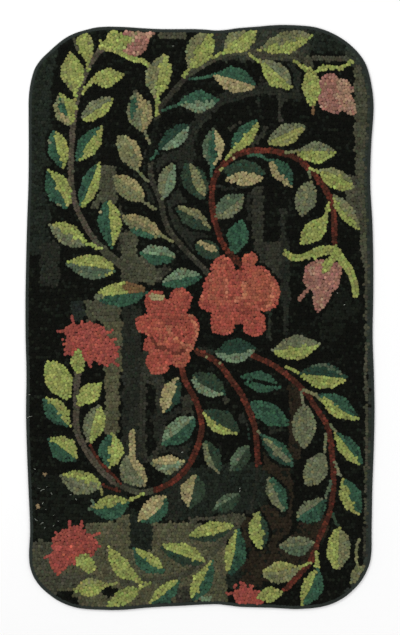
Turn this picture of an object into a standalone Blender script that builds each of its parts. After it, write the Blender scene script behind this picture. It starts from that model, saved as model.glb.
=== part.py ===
"""Hooked rug with rounded corners: the hooked cloth, and the tape that is folded over its edge.

The cloth is one piece: a burlap foundation with wool loops pulled up through it. The tape hides the
turned-in margin of the burlap. Its narrow side shows on the front, and its wide side lies underneath.
Metres, +Z up, +X across the rug and +Y along it. The origin is on the floor, under the middle.
"""

import math
from collections import namedtuple

import bmesh
import bpy
from mathutils import Vector, noise
from mathutils.geometry import delaunay_2d_cdt, interpolate_bezier

MM = 0.001

# Overall size
LENGTH = 1525 * MM
WIDTH = 910 * MM

# Thicknesses and heights above the floor
TAPE = 1.2 * MM
GAP = 0.3 * MM  # between the tape and the cloth
MARGIN = 2.7 * MM  # the folded burlap margin inside the tape
PILE_TOP = 7.7 * MM
LUMP = 0.5 * MM  # how far the hooking rises and falls
LUMP_SPAN = 110 * MM  # from one high place to the next

# Insets from the rug's outer edge
LIP = 9.0 * MM  # the tape on the front
HEM = 26 * MM  # the tape underneath
HEM_STEP = 3.0 * MM  # past the tape, the cloth comes down to the floor within this
SHOULDER = 7 * MM  # the outer loops lean over within this

# How finely the solids are divided
AROUND = 160
LATTICE = 32 * MM

# Each corner is a rough quarter circle of its own, because the rug was cut by hand. It has one middle,
# and its edge wanders in and out a little. Reaches are in millimetres, counter-clockwise.
Corner = namedtuple("Corner", "radius reaches")
CORNERS = {
    "top_right": Corner(180, (176, 178, 176, 175, 177)),
    "top_left": Corner(200, (199, 200, 199, 205, 201)),
    "bottom_left": Corner(150, (154, 154, 149, 147, 147)),
    "bottom_right": Corner(160, (157, 157, 157, 159, 160)),
}
REACH_ANGLES = (10, 28, 45, 62, 80)

# The sides wander. Each row says how far in from the overall size the edge lies, at a place along
# the side, both in millimetres. The places run the way the outline does, counter-clockwise.
Wander = namedtuple("Wander", "along inward")
RIGHT = [Wander(*row) for row in (
    (-550, 7.6), (-450, 5.9), (-350, 2.3), (-250, 0.0), (-150, 1.7), (-50, 5.0),
    (50, 3.4), (150, 3.3), (250, 5.8), (350, 11.3), (450, 8.7), (550, 2.6),
)]
TOP = [Wander(*row) for row in (
    (250, 0.9), (200, 0.2), (150, 4.3), (100, 8.2), (50, 14.4), (0, 11.1),
    (-50, 10.8), (-100, 10.8), (-150, 8.4), (-200, 5.2), (-250, 4.7),
)]
LEFT = [Wander(*row) for row in (
    (550, 8.2), (450, 8.5), (350, 7.7), (250, 4.3), (150, 1.7), (50, 0.0),
    (-50, 0.3), (-150, 2.5), (-250, 1.4), (-350, 4.0), (-450, 8.0), (-550, 12.0),
)]
BOTTOM = [Wander(*row) for row in (
    (-250, 1.1), (-200, 1.2), (-150, 5.8), (-100, 9.3), (-50, 11.7), (0, 14.5),
    (50, 15.6), (100, 9.4), (150, 7.5), (200, 6.0), (250, 3.3),
)]

# A cross-section's points: distance in from the outer edge, and height above the floor.
Spot = namedtuple("Spot", "inset height")


def corner_anchors(name, x_sign, y_sign, first_angle, x_inward, y_inward):
    """Points of a corner's edge, counter-clockwise. The inward sizes are those of the sides that meet here."""
    corner = CORNERS[name]
    centre_x = x_sign * (WIDTH / 2 - (x_inward + corner.radius) * MM)
    centre_y = y_sign * (LENGTH / 2 - (y_inward + corner.radius) * MM)
    anchors = []
    for step, reach in zip(REACH_ANGLES, corner.reaches):
        angle = math.radians(first_angle + step)
        anchors.append((centre_x + reach * MM * math.cos(angle), centre_y + reach * MM * math.sin(angle)))
    return anchors


def outline_anchors():
    """The points that the outline passes through, counter-clockwise from the right side's lower end."""
    right = [(WIDTH / 2 - row.inward * MM, row.along * MM) for row in RIGHT]
    top = [(row.along * MM, LENGTH / 2 - row.inward * MM) for row in TOP]
    left = [(-WIDTH / 2 + row.inward * MM, row.along * MM) for row in LEFT]
    bottom = [(row.along * MM, -LENGTH / 2 + row.inward * MM) for row in BOTTOM]
    return (
        right
        + corner_anchors("top_right", 1, 1, 0, RIGHT[-1].inward, TOP[0].inward)
        + top
        + corner_anchors("top_left", -1, 1, 90, LEFT[0].inward, TOP[-1].inward)
        + left
        + corner_anchors("bottom_left", -1, -1, 180, LEFT[-1].inward, BOTTOM[0].inward)
        + bottom
        + corner_anchors("bottom_right", 1, -1, 270, RIGHT[0].inward, BOTTOM[-1].inward)
    )


def smooth_closed(anchors, steps=12):
    """A smooth closed line through the anchors, as many short steps."""
    points = [Vector((x, y, 0)) for x, y in anchors]
    count = len(points)
    line = []
    for i, start in enumerate(points):
        before, end, after = points[i - 1], points[(i + 1) % count], points[(i + 2) % count]
        span = (end - start).length
        leave = (end - before).normalized() * span / 3
        arrive = (after - start).normalized() * span / 3
        line += interpolate_bezier(start, start + leave, end - arrive, end, steps + 1)[:-1]
    return line


def evenly_spaced(line, count):
    """The closed line again, as this many points at equal distances."""
    reach = [0.0]
    for i, point in enumerate(line):
        reach.append(reach[-1] + (line[(i + 1) % len(line)] - point).length)
    spaced, at = [], 0
    for i in range(count):
        wanted = reach[-1] * i / count
        while reach[at + 1] < wanted:
            at += 1
        share = (wanted - reach[at]) / (reach[at + 1] - reach[at])
        spaced.append(line[at].lerp(line[(at + 1) % len(line)], share))
    return spaced


def outline():
    """The rug's outer edge, centred on the origin and exactly as wide and long as stated."""
    line = smooth_closed(outline_anchors())
    low = Vector((min(p.x for p in line), min(p.y for p in line), 0))
    high = Vector((max(p.x for p in line), max(p.y for p in line), 0))
    middle, size = (low + high) / 2, high - low
    fitted = [
        Vector(((p.x - middle.x) * WIDTH / size.x, (p.y - middle.y) * LENGTH / size.y, 0)) for p in line
    ]
    return evenly_spaced(fitted, AROUND)


def inward_directions(edge):
    """The level direction into the rug at each point of a counter-clockwise edge."""
    inward = []
    for i in range(len(edge)):
        along = (edge[(i + 1) % len(edge)] - edge[i - 1]).normalized()
        inward.append(Vector((-along.y, along.x, 0)))
    return inward


def lump(x, y):
    """How far the pile stands above or below its usual height here."""
    return LUMP * noise.noise(Vector((x, y, 0)) / LUMP_SPAN)


def ring(mesh, edge, inward, spot, lumpy=False):
    """A loop of vertices at this inset and height, all the way round the rug."""
    vertices = []
    for point, direction in zip(edge, inward):
        place = point + direction * spot.inset
        rise = lump(place.x, place.y) if lumpy else 0.0
        vertices.append(mesh.verts.new((place.x, place.y, spot.height + rise)))
    return vertices


def join_rings(mesh, first, second):
    """A band of faces from one ring to the next."""
    count = len(first)
    for i in range(count):
        after = (i + 1) % count
        mesh.faces.new((first[i], first[after], second[after], second[i]))


def tape_section():
    """The folded tape's closed section, counter-clockwise when the rug lies to the right."""
    front = TAPE + GAP + MARGIN + GAP  # underside of the tape's front
    outside = [
        Spot(HEM, 0),
        Spot(2.5 * MM, 0),
        Spot(0.7 * MM, 0.6 * MM),
        Spot(0, 2.2 * MM),
        Spot(0, 3.7 * MM),
        Spot(0.8 * MM, 5.0 * MM),
        Spot(2.4 * MM, front + TAPE - 0.1 * MM),
        Spot(LIP, front + TAPE),
    ]
    inside = [
        Spot(LIP, front),
        Spot(2.7 * MM, front - 0.1 * MM),
        Spot(1.6 * MM, 3.9 * MM),
        Spot(TAPE, 3.3 * MM),
        Spot(TAPE, 2.3 * MM),
        Spot(1.6 * MM, 1.5 * MM),
        Spot(2.8 * MM, TAPE),
        Spot(HEM, TAPE),
    ]
    return outside + inside


def cloth_section():
    """The hooked cloth's rim, from the floor out round the margin inside the tape and up to the pile."""
    under = TAPE + GAP
    over = under + MARGIN
    return [
        Spot(HEM + GAP + HEM_STEP, 0),
        Spot(HEM + GAP, under),
        Spot(3.2 * MM, under),
        Spot(2.0 * MM, under + 0.5 * MM),
        Spot(TAPE + GAP, 2.6 * MM),
        Spot(TAPE + GAP, 3.2 * MM),
        Spot(2.0 * MM, over - 0.5 * MM),
        Spot(3.2 * MM, over - 0.1 * MM),
        Spot(LIP + GAP, over),
        Spot(LIP + GAP + 0.1 * MM, over + 1.5 * MM),
        Spot(LIP + 1.2 * MM, PILE_TOP - 0.8 * MM),
    ]


def lattice_inside(border):
    """Evenly spread places inside a border ring, well clear of it."""
    clear = LATTICE * 0.6
    rows = int(LENGTH / LATTICE)
    columns = int(WIDTH / LATTICE)
    corners = [Vector((v.co.x, v.co.y)) for v in border]
    places = []
    for row in range(-rows // 2, rows // 2 + 1):
        for column in range(-columns // 2, columns // 2 + 1):
            shift = LATTICE / 2 if row % 2 else 0.0
            place = Vector((column * LATTICE + shift, row * LATTICE))
            if inside(place, corners) and min((place - c).length for c in corners) > clear:
                places.append(place)
    return places


def inside(place, corners):
    """True if the place lies inside the closed polygon."""
    within = False
    for i, end in enumerate(corners):
        start = corners[i - 1]
        if (start.y > place.y) != (end.y > place.y):
            share = (place.y - start.y) / (end.y - start.y)
            if place.x < start.x + share * (end.x - start.x):
                within = not within
    return within


def cover(mesh, border):
    """The uneven top of the pile, as triangles inside the border ring."""
    around = [Vector((v.co.x, v.co.y)) for v in border]
    flat = around + lattice_inside(border)
    found, _, triangles, sources, _, _ = delaunay_2d_cdt(flat, [], [list(range(len(around)))], 1, 1e-6)
    vertices = []
    for place, source in zip(found, sources):
        if source and source[0] < len(border):
            vertices.append(border[source[0]])
        else:
            height = PILE_TOP + lump(place.x, place.y)
            vertices.append(mesh.verts.new((place.x, place.y, height)))
    for triangle in triangles:
        mesh.faces.new([vertices[i] for i in triangle])


def material(name, colour, roughness):
    """A plain cloth finish."""
    made = bpy.data.materials.new(name)
    made.use_nodes = True
    shader = made.node_tree.nodes["Principled BSDF"]
    shader.inputs["Base Color"].default_value = (*colour, 1.0)
    shader.inputs["Roughness"].default_value = roughness
    shader.inputs["Metallic"].default_value = 0.0
    return made


def add_object(name, mesh, finish):
    """Closes the drawing of one solid: faces out, smooth but for its sharp edges, with its finish."""
    bmesh.ops.recalc_face_normals(mesh, faces=mesh.faces)
    data = bpy.data.meshes.new(name)
    mesh.to_mesh(data)
    mesh.free()
    data.shade_smooth()
    data.set_sharp_from_angle(angle=math.radians(50))
    data.materials.append(finish)
    made = bpy.data.objects.new(name, data)
    bpy.context.scene.collection.objects.link(made)
    return made


def hooked_cloth(edge, inward):
    """The burlap with its hooked pile: flat underneath, with a thin margin and a rounded edge to the pile."""
    mesh = bmesh.new()
    rings = [ring(mesh, edge, inward, spot) for spot in cloth_section()]
    rings.append(ring(mesh, edge, inward, Spot(LIP + SHOULDER, PILE_TOP), lumpy=True))
    for first, second in zip(rings, rings[1:]):
        join_rings(mesh, first, second)
    mesh.faces.new(rings[0])
    cover(mesh, rings[-1])
    finish = material("wool pile", (0.035, 0.037, 0.028), 0.95)
    return add_object("hooked_cloth", mesh, finish)


def edge_tape(edge, inward):
    """The binding tape, one closed band round the whole rug."""
    mesh = bmesh.new()
    rings = [ring(mesh, edge, inward, spot) for spot in tape_section()]
    for i, first in enumerate(rings):
        join_rings(mesh, first, rings[(i + 1) % len(rings)])
    finish = material("cotton tape", (0.012, 0.02, 0.017), 0.85)
    return add_object("edge_tape", mesh, finish)


def main():
    for old in list(bpy.data.objects):
        bpy.data.objects.remove(old)
    edge = outline()
    inward = inward_directions(edge)
    hooked_cloth(edge, inward)
    edge_tape(edge, inward)


main()
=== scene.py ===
"""Dresses the hooked rug: wool loops on burlap, a sewn edge binding, a pale floor and soft light.

The pattern is charted in centimetres from the rug's middle, with +Y towards the end with two buds:
stems and stalks are bands, leaves and sepals are blades split along the middle, and flowers are
groups of round petals. Leaves and stems are hooked in rows of their own. Flowers and ground lie in
rows across the whole rug, which fill in round them.
"""

import math
from collections import namedtuple

import bpy
import numpy as np
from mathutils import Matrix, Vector, geometry, kdtree


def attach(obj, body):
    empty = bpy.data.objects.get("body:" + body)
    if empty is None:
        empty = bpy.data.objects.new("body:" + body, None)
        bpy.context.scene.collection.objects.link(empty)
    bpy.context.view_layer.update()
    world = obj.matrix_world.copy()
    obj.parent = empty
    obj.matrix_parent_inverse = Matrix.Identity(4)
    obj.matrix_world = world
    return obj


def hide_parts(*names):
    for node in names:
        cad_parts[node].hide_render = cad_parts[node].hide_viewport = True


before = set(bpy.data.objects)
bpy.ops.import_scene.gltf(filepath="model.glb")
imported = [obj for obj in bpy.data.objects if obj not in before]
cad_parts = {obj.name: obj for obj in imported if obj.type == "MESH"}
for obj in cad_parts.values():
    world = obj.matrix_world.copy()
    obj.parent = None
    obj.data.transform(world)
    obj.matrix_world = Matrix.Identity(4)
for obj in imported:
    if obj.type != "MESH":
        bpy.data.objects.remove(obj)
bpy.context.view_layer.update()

MM = 0.001
CM = 0.01

# Loops, in centimetres
LOOP = 0.68  # from one loop to the next along a row
ROW = 0.80  # from one row to the next
CLASH = 0.53  # a motif's loops this near to another motif's are left out
RIM_CLASH = CLASH + 0.06  # the same for the row that goes round each motif
EDGE_CLASH = CLASH + 0.1  # and for the outermost row
GAP_FILL = 0.57  # a bare place this wide gets a loop of its own
SPACING = 0.68  # loops closer than this are pushed apart
SCATTER = 0.09  # how far a loop strays from its row
HALO = 1.0  # the plain dark ground kept round a motif
RAGGED = 0.24  # how far a motif's edge strays
RAGGED_SPAN = 2.4
CELL = 0.1  # the grid on which free places are looked for
STRIP = 4.0  # how far one strip of wool reaches along a row
CHART_MARGIN = 3.0
PILE_INSET = 1.22  # the outermost loops, from the rug's edge

# Heights, in metres
PILE_TOP = 7.3 * MM
MOTIF_RISE = 0.3 * MM
BED_TOP = 3.6 * MM
LOOP_FOOT = 3.3 * MM
BURLAP_BOTTOM = 0.8 * MM
LUMP = 0.5 * MM
LUMP_SPAN = 110 * MM

RANDOM = np.random.default_rng(1927)

# What a white surface's pile would send to the camera, and what sheen adds
LIGHT = 0.95
SHEEN = 0.002

# How much lighter or darker a loop is than its yarn, by its strip, by chance and over the rug
STRIP_SHADE = 0.12
LOOP_SHADE = 0.17
SLOW_SHADE = 0.08
SLOW_SPAN = 9.0
LOOP_HUE = 0.05
DARKEST = 0.0015

# How many loops take their yarn's companion: in an odd strip, elsewhere, and in the burgundy stems
ODD_STRIP = 0.8
ODD_SHARE = 0.6
STRAY_SHARE = 0.1
BURGUNDY_SHARE = 0.25

YARNS = {
    "black": (16, 17, 14),
    "soot": (23, 26, 21),
    "forest": (30, 35, 29),
    "bottle": (32, 44, 35),
    "charcoal": (35, 37, 31),
    "slate": (33, 38, 34),
    "iron": (42, 47, 41),
    "grey": (45, 46, 38),
    "umber": (38, 33, 25),
    "mole": (46, 46, 38),
    "thyme": (43, 47, 39),
    "drab": (62, 62, 50),
    "moss": (65, 66, 51),
    "olive": (74, 73, 54),
    "burgundy": (60, 34, 26),
    "russet": (84, 42, 32),
    "taupe": (70, 65, 54),
    "bark": (58, 59, 46),
    "lime": (125, 133, 72),
    "dull_lime": (118, 121, 70),
    "khaki": (101, 102, 70),
    "sage": (94, 99, 73),
    "grey_sage": (90, 95, 71),
    "pale_sage": (95, 113, 88),
    "fog": (69, 83, 64),
    "teal": (45, 74, 56),
    "deep_teal": (33, 55, 43),
    "shade_green": (40, 53, 39),
    "tan": (134, 126, 89),
    "rust_tan": (126, 118, 81),
    "rust": (98, 77, 50),
    "coral": (134, 66, 54),
    "brick": (137, 75, 58),
    "deep_coral": (90, 45, 35),
    "carnation": (131, 65, 56),
    "light_coral": (152, 93, 71),
    "pink": (129, 91, 79),
    "blush": (140, 112, 91),
}
YARN_NAMES = list(YARNS)
GROUND_YARNS = YARN_NAMES[: YARN_NAMES.index("burgundy")]
STEM_YARNS = ["burgundy", "russet", "taupe", "bark"]
FLOWER_YARNS = ["coral", "brick", "deep_coral", "carnation", "light_coral", "pink", "blush"]

# The wool that is mixed in here and there with each one
COMPANIONS = {
    "black": "soot", "soot": "black", "forest": "soot", "charcoal": "forest", "grey": "charcoal",
    "slate": "forest", "umber": "soot", "mole": "drab", "thyme": "mole", "drab": "moss", "moss": "drab",
    "olive": "moss", "burgundy": "russet", "taupe": "bark", "bark": "drab", "lime": "dull_lime",
    "dull_lime": "khaki", "khaki": "grey_sage", "grey_sage": "khaki", "pale_sage": "grey_sage",
    "fog": "grey_sage", "teal": "deep_teal", "deep_teal": "shade_green", "shade_green": "deep_teal",
    "tan": "rust_tan", "rust_tan": "khaki", "coral": "brick", "brick": "coral", "carnation": "coral",
    "light_coral": "brick",
    "pink": "blush", "blush": "pink",
}


def number(yarn):
    return YARN_NAMES.index(yarn)


def spline(points, step, closed=False):
    """Points about step apart on a smooth curve through the given ones."""
    points = np.asarray(points, float)
    if closed:
        around = np.vstack([points[-1:], points, points[:2]])
    else:
        before = 2 * points[:1] - points[1:2]
        after = 2 * points[-1:] - points[-2:-1]
        around = np.vstack([before, points, after])
    runs = []
    for a, b, c, d in zip(around, around[1:], around[2:], around[3:]):
        count = max(1, math.ceil(np.linalg.norm(c - b) / step))
        t = np.linspace(0, 1, count, endpoint=False)[:, None]
        bent = (2 * a - 5 * b + 4 * c - d) * t**2 + (3 * b - a - 3 * c + d) * t**3
        runs.append(0.5 * (2 * b + (c - a) * t + bent))
    if not closed:
        runs.append(points[-1:])
    return np.vstack(runs)


def wobble(points, span, seed=0.0):
    """A smooth number from -1 to 1 for each point, which changes over about span."""
    x, y = np.asarray(points, float).T * (2 * math.pi / span)
    first = np.sin(0.61 * x + 1.7 * np.sin(0.43 * y + seed) + 2.1 * seed)
    second = np.sin(0.57 * y + 1.9 * np.sin(0.47 * x + 1.3 * seed) + seed)
    return 0.5 * (first + second)


def ragged(points):
    """How far a motif's edge strays outwards at each point."""
    return RAGGED * wobble(points, RAGGED_SPAN, 1.4)


def strip_tone(row, along, seed):
    """The shade of the wool strip that a loop is part of, from -1 to 1."""
    strip = np.floor(along / STRIP + 0.37 * row)
    mixed = np.sin(12.9898 * row + 78.233 * strip + 37.719 * seed) * 43758.5453
    return 2 * (mixed - np.floor(mixed)) - 1


class Patch:
    """A straight-sided piece of the ground, hooked in level rows."""

    own_rows = False

    def __init__(self, yarn, left, right, bottom, top, halo=False):
        self.yarn, self.halo = yarn, halo
        self.low = np.array([left, bottom], float)
        self.high = np.array([right, top], float)

    def holds(self, points):
        return np.all((points > self.low) & (points < self.high), axis=1)

    def yarns(self, points):
        return np.full(len(points), number(self.yarn))


class Band:
    """A strip of loops along a route: a stem, a stalk, a streak of the ground."""

    level = False

    def __init__(self, yarn, width, *route, halo=False):
        self.yarn, self.halo = yarn, halo
        self.half = width / 2
        self.own_rows = not halo and width < 5 * ROW
        self.line = spline(np.reshape(route, (-1, 2)), 0.25)
        lengths = np.linalg.norm(np.diff(self.line, axis=0), axis=1)
        self.along = np.concatenate([[0], np.cumsum(lengths)])
        ways = np.gradient(self.line, axis=0)
        self.ways = ways / np.linalg.norm(ways, axis=1, keepdims=True)

    def place(self, along, across):
        """The point and heading at a distance along the route and to its left."""
        line = np.stack([np.interp(along, self.along, v) for v in self.line.T], 1)
        way = np.stack([np.interp(along, self.along, v) for v in self.ways.T], 1)
        left = np.stack([-way[:, 1], way[:, 0]], 1)
        return line + left * np.reshape(across, (-1, 1)), np.arctan2(way[:, 1], way[:, 0])

    def rows(self):
        count = max(1, round(2 * self.half / ROW))
        step = 2 * self.half / count
        places, headings, rows, alongs = [], [], [], []
        for k in range(count):
            along = np.arange(LOOP * (0.25 + 0.5 * (k % 2)), self.along[-1], LOOP)
            across = (k + 0.5) * step - self.half
            place, heading = self.place(along, np.full(len(along), across))
            places.append(place)
            headings.append(heading)
            rows.append(np.full(len(along), k))
            alongs.append(along)
        return [np.concatenate(v) for v in (places, headings, rows, alongs)]

    def rim(self, offset):
        """Points just outside the band's two sides, with their headings."""
        along = np.arange(0, self.along[-1], LOOP / 2)
        sides = [self.place(along, np.full(len(along), side * (self.half + offset))) for side in (-1, 1)]
        return np.vstack([s[0] for s in sides]), np.concatenate([s[1] for s in sides])

    def holds(self, points):
        low = self.line.min(0) - self.half
        high = self.line.max(0) + self.half
        held = np.all((points > low) & (points < high), axis=1)
        if held.any():
            gaps = points[held][:, None] - self.line[None]
            held[held] = (gaps**2).sum(2).min(1) < self.half**2
        return held

    def yarns(self, points):
        return np.full(len(points), number(self.yarn))


class Blade:
    """A leaf, sepal or petal from base to tip, with a yarn to the left and one to the right."""

    def __init__(
        self, base_x, base_y, tip_x, tip_y, width, left, right=None, bend=0.0, split=0.0, peak=1.0, sharp=0.9
    ):
        self.base = np.array([base_x, base_y], float)
        axis = np.array([tip_x, tip_y]) - self.base
        self.length = np.linalg.norm(axis)
        self.way = axis / self.length
        self.left_way = np.array([-self.way[1], self.way[0]])
        self.width, self.bend, self.split = width, bend, split
        self.peak, self.sharp = peak, sharp
        self.left, self.right = left, right or left
        self.level = left in FLOWER_YARNS

    def middle(self, s):
        return 4 * self.bend * s * (self.length - s) / self.length**2

    def half_width(self, s):
        share = np.clip(s / self.length, 0, 1)
        return self.width / 2 * np.sin(math.pi * share**self.peak) ** self.sharp

    def local(self, points):
        away = points - self.base
        s = away @ self.way
        return s, away @ self.left_way - self.middle(s)

    def world(self, s, t):
        across = (t + self.middle(s))[:, None]
        return self.base + s[:, None] * self.way + across * self.left_way

    def rows(self):
        count = max(1, round(self.width / ROW))
        k = np.arange(count)
        steps = np.arange(math.ceil(self.length / LOOP))
        k, step = (v.ravel() for v in np.meshgrid(k, steps, indexing="ij"))
        s = (step + 0.25 + 0.5 * (k % 2)) * LOOP
        t = ((k + 0.5) / count - 0.5) * self.width
        kept = (s < self.length) & (np.abs(t) < self.half_width(s) - 0.2 * ROW)
        slope = 4 * self.bend * (self.length - 2 * s) / self.length**2
        heading = math.atan2(self.way[1], self.way[0]) + np.arctan(slope)
        return self.world(s, t)[kept], heading[kept], k[kept], s[kept]

    def rim(self, offset):
        s = np.linspace(0, self.length, math.ceil(self.length / LOOP * 3))
        out = self.half_width(s) + offset
        out = np.concatenate([out + ragged(self.world(s, out)), -out - ragged(self.world(s, -out))])
        around = self.world(np.concatenate([s, s]), out)
        around[len(s) :] = around[: len(s) - 1 : -1]
        way = np.gradient(around, axis=0)
        return around, np.arctan2(way[:, 1], way[:, 0])

    def holds(self, points):
        s, t = self.local(points)
        edge = self.half_width(s) + ragged(points)
        return (s > 0) & (s < self.length) & (np.abs(t) < edge)

    def yarns(self, points):
        s, t = self.local(points)
        line = self.split * self.half_width(s) + 0.25 * wobble(points, 2.1, 2.0)
        return np.where(t > line, number(self.left), number(self.right))


class Disc:
    """A round or squarish petal. Teeth give it the jagged rim of a carnation."""

    level = True

    def __init__(self, x, y, radius_x, radius_y, yarn, teeth=0, depth=0.0, power=2.0):
        self.middle = np.array([x, y], float)
        self.radii = np.array([radius_x, radius_y], float)
        self.yarn, self.teeth, self.depth, self.power = yarn, teeth, depth, power

    def reach(self, angle):
        """The rim's distance from the middle, as a share of the radius."""
        across, up = np.abs(np.cos(angle)), np.abs(np.sin(angle))
        square = (across**self.power + up**self.power) ** (-1 / self.power)
        if not self.teeth:
            return square
        turn = self.teeth * angle / (2 * math.pi)
        tooth = np.floor(turn)
        uneven = 0.7 + 0.3 * np.sin(7.3 * tooth + self.middle[0])
        return square * (1 + self.depth * uneven * (1 - 2 * np.abs(turn - tooth - 0.5) * 2))

    def rim(self, offset):
        angle = np.linspace(0, 2 * math.pi, math.ceil(self.radii.max() * 20), endpoint=False)
        way = np.stack([np.cos(angle), np.sin(angle)], 1)
        rim = self.middle + self.reach(angle)[:, None] * self.radii * way
        return rim + (offset + ragged(rim))[:, None] * way, angle + math.pi / 2

    def holds(self, points):
        away = (points - self.middle) / self.radii
        angle = np.arctan2(away[:, 1], away[:, 0])
        edge = self.reach(angle) + ragged(points) / self.radii.mean()
        return np.hypot(*away.T) < edge

    def yarns(self, points):
        return np.full(len(points), number(self.yarn))


class Margin:
    """The outermost row of the ground, along the rug's right-hand side."""

    own_rows = halo = False

    def __init__(self, yarn, inset, left):
        self.yarn, self.inset, self.left = yarn, inset, left

    def holds(self, points):
        return (inset_of(points) < self.inset) & (points[:, 0] > self.left)

    def yarns(self, points):
        return np.full(len(points), number(self.yarn))


# The ground's patches of different dark wools, the lowest first. A halo keeps off the motifs.
GROUND = [
    Band("forest", 7, -40, 72, -42, 60, -42, 48, -42, 34, -42.4, 20, halo=True),
    Patch("charcoal", -41.6, -36.6, 8.0, 20.0, halo=True),
    Patch("soot", -44.6, -18.3, -58.4, -41.0),
    Patch("black", -17.9, -13.7, -7.1, -4.5),
    Band("charcoal", 1.2, -0.5, -8.2, 2.5, -8.6, 4.6, -9.0),
    Patch("thyme", 3.0, 28.5, 66.6, 75.5),
    Patch("forest", 28.5, 38.5, 69.0, 75.5),
    Patch("thyme", 38.0, 42.0, 65.6, 70.4),
    Band("drab", 1.8, -10, 73.4, -4, 73.4),
    Band("drab", 2.2, 13, 68.4, 26, 68.2),
    Band("drab", 1.3, 27, 67.5, 39, 67.5),
    Band("charcoal", 9, 27, 63, 24, 61, 20, 62, halo=True),
    Band("charcoal", 3.0, -3.4, 40, -2.6, 47, 0, 51.5, 4.5, 56, 10, 58.2, 16, 59.6, 22, 60.6),
    Band("charcoal", 8, -13, 38, -9, 44, -5, 43, halo=True),
    Band("charcoal", 8, -12, 33, -8, 30, -5, 22, 0, 18, halo=True),
    Band("grey", 0.9, 20.7, 59, 20.8, 51.5),
    Band("charcoal", 1.0, 15.2, 58, 15.4, 55),
    Band("grey", 0.9, 7.8, 48.8, 10, 50.6),
    Band("grey", 1.2, 14, 45, 17.5, 49.5),
    Patch("moss", -26.2, -21.8, 29.5, 39.4),
    Patch("moss", -28.6, -21.4, 28.4, 34.0, halo=True),
    Band("mole", 1.5, -20.9, 28, -20.8, 18),
    Patch("moss", -20.3, -16.4, 15.0, 22.6),
    Patch("moss", -20.6, -11.2, 8.9, 15.8),
    Patch("mole", -11.2, -7.4, 9.0, 14.6, halo=True),
    Band("slate", 3.4, -31.8, 3, -31.5, 0.5),
    Patch("moss", -29.7, -20.8, -1.0, 4.5),
    Patch("olive", -25.0, -20.3, -14.5, -1.0),
    Patch("olive", -24.8, -21.0, -30.4, -14.5),
    Patch("charcoal", -20.3, -15.2, -44.0, 3.0),
    Band("grey", 3.4, -14, -10, -13.5, -15, -10.8, -16.5),
    Band("grey", 1.8, -14.8, -15, -14.9, -34, -13, -36.8, -10.8, -34.5, -9.6, -29, -10.6, -24, -10.6, -17),
    Patch("grey", -11.8, -5.0, -28.2, -25.3, halo=True),
    Patch("grey", -4.4, -1.8, -25.6, -20.2),
    Band("charcoal", 9, -8, -27, -6, -36, halo=True),
    Patch("grey", 13.5, 16.5, 20.0, 34.0),
    Patch("grey", 14.0, 21.0, 14.0, 19.9, halo=True),
    Band("grey", 5, 19.5, 14, 21, 5, halo=True),
    Patch("charcoal", 20.7, 22.4, 20.0, 28.7),
    Patch("charcoal", 21.0, 23.4, 3.0, 20.0),
    Band("charcoal", 1.4, 22.4, 3.5, 22.5, -3.8),
    Band("charcoal", 1.2, 18.1, 1.9, 18.1, -5.2),
    Band("charcoal", 1.0, 4.4, 34.3, 8, 33.6, 12.5, 34.2),
    Band("charcoal", 1.2, 12.8, 32.5, 12.6, 29, 13, 25.6),
    Band("moss", 4.2, 42.2, 65, 42.3, 52, 42.5, 42, 42.8, 34, 43.0, 27),
    Band("drab", 4.2, 39.6, 35, 40.6, 27),
    Band("moss", 2.8, 43.0, 27, 43.0, 20, 43.2, 16),
    Band("drab", 0.9, 43.2, 16, 43.3, 2, 43.4, -8, 43.0, -14, 43.4, -24, 43.3, -34, 43.2, -46, 43.2, -55),
    Band("mole", 1.6, 43.3, -55, 43.2, -63),
    Band("soot", 8, 34, -2, 36, 4, 38, 3, halo=True),
    Band("umber", 11, 18.5, -40, 18.5, -50, 17, -62, halo=True),
    Patch("umber", 10.6, 13.5, -60.0, -52.0),
    Patch("forest", 7.0, 10.6, -70.5, -65.0),
    Patch("umber", 10.6, 16.0, -70.5, -65.0),
    Patch("charcoal", 18.0, 21.3, -30.0, -28.4),
    Band("umber", 7, 30, -54, 24, -62, 14, -66),
    Band("umber", 3.5, 24.5, -18, 25, -24, 24.6, -36),
    Band("forest", 13, -4, -46, 4, -45, 12, -44),
    Band("charcoal", 4, -4, -38.5, -6, -45, -7, -51),
    Patch("grey", 6.1, 7.5, -22.7, -20.6),
    Patch("charcoal", 10.3, 12.7, -28.0, -24.9, halo=True),
    Patch("bottle", 12.5, 13.7, -32.4, -28.9, halo=True),
    Band("charcoal", 1.2, 14.8, -40, 14.2, -46, 13, -51),
    Patch("olive", -44.5, 4.2, -76.0, -58.2),
    Patch("drab", -44.5, -37.5, -76.0, -58.2),
    Patch("drab", -37.5, -27.0, -70.7, -66.8),
    Patch("olive", -29.5, -18.3, -58.4, -53.4),
    Patch("olive", -22.5, -18.3, -53.4, -51.3),
    Patch("olive", -12.5, 4.2, -58.4, -53.4),
    Patch("olive", 4.2, 7.0, -76.0, -53.4),
    Patch("mole", -6.4, -2.6, -75.5, -70.4),
    Patch("black", -37.0, -33.0, -75.5, -71.4),
    Patch("black", -33.0, -31.6, -75.5, -73.2),
    Patch("black", -25.2, -21.2, -72.6, -70.5),
    Patch("forest", -18.3, -12.5, -60.6, -50.0),
    Band("drab", 1.2, -2.6, -52.8, 5, -52.3),
    Band("moss", 2.2, 5.4, -52.6, 11.0, -51.9),
    Band("black", 0.7, -0.5, -53.3, 2, -53.1, 5, -53.4),
    Margin("iron", 1.5, 38.0),
]

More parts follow.
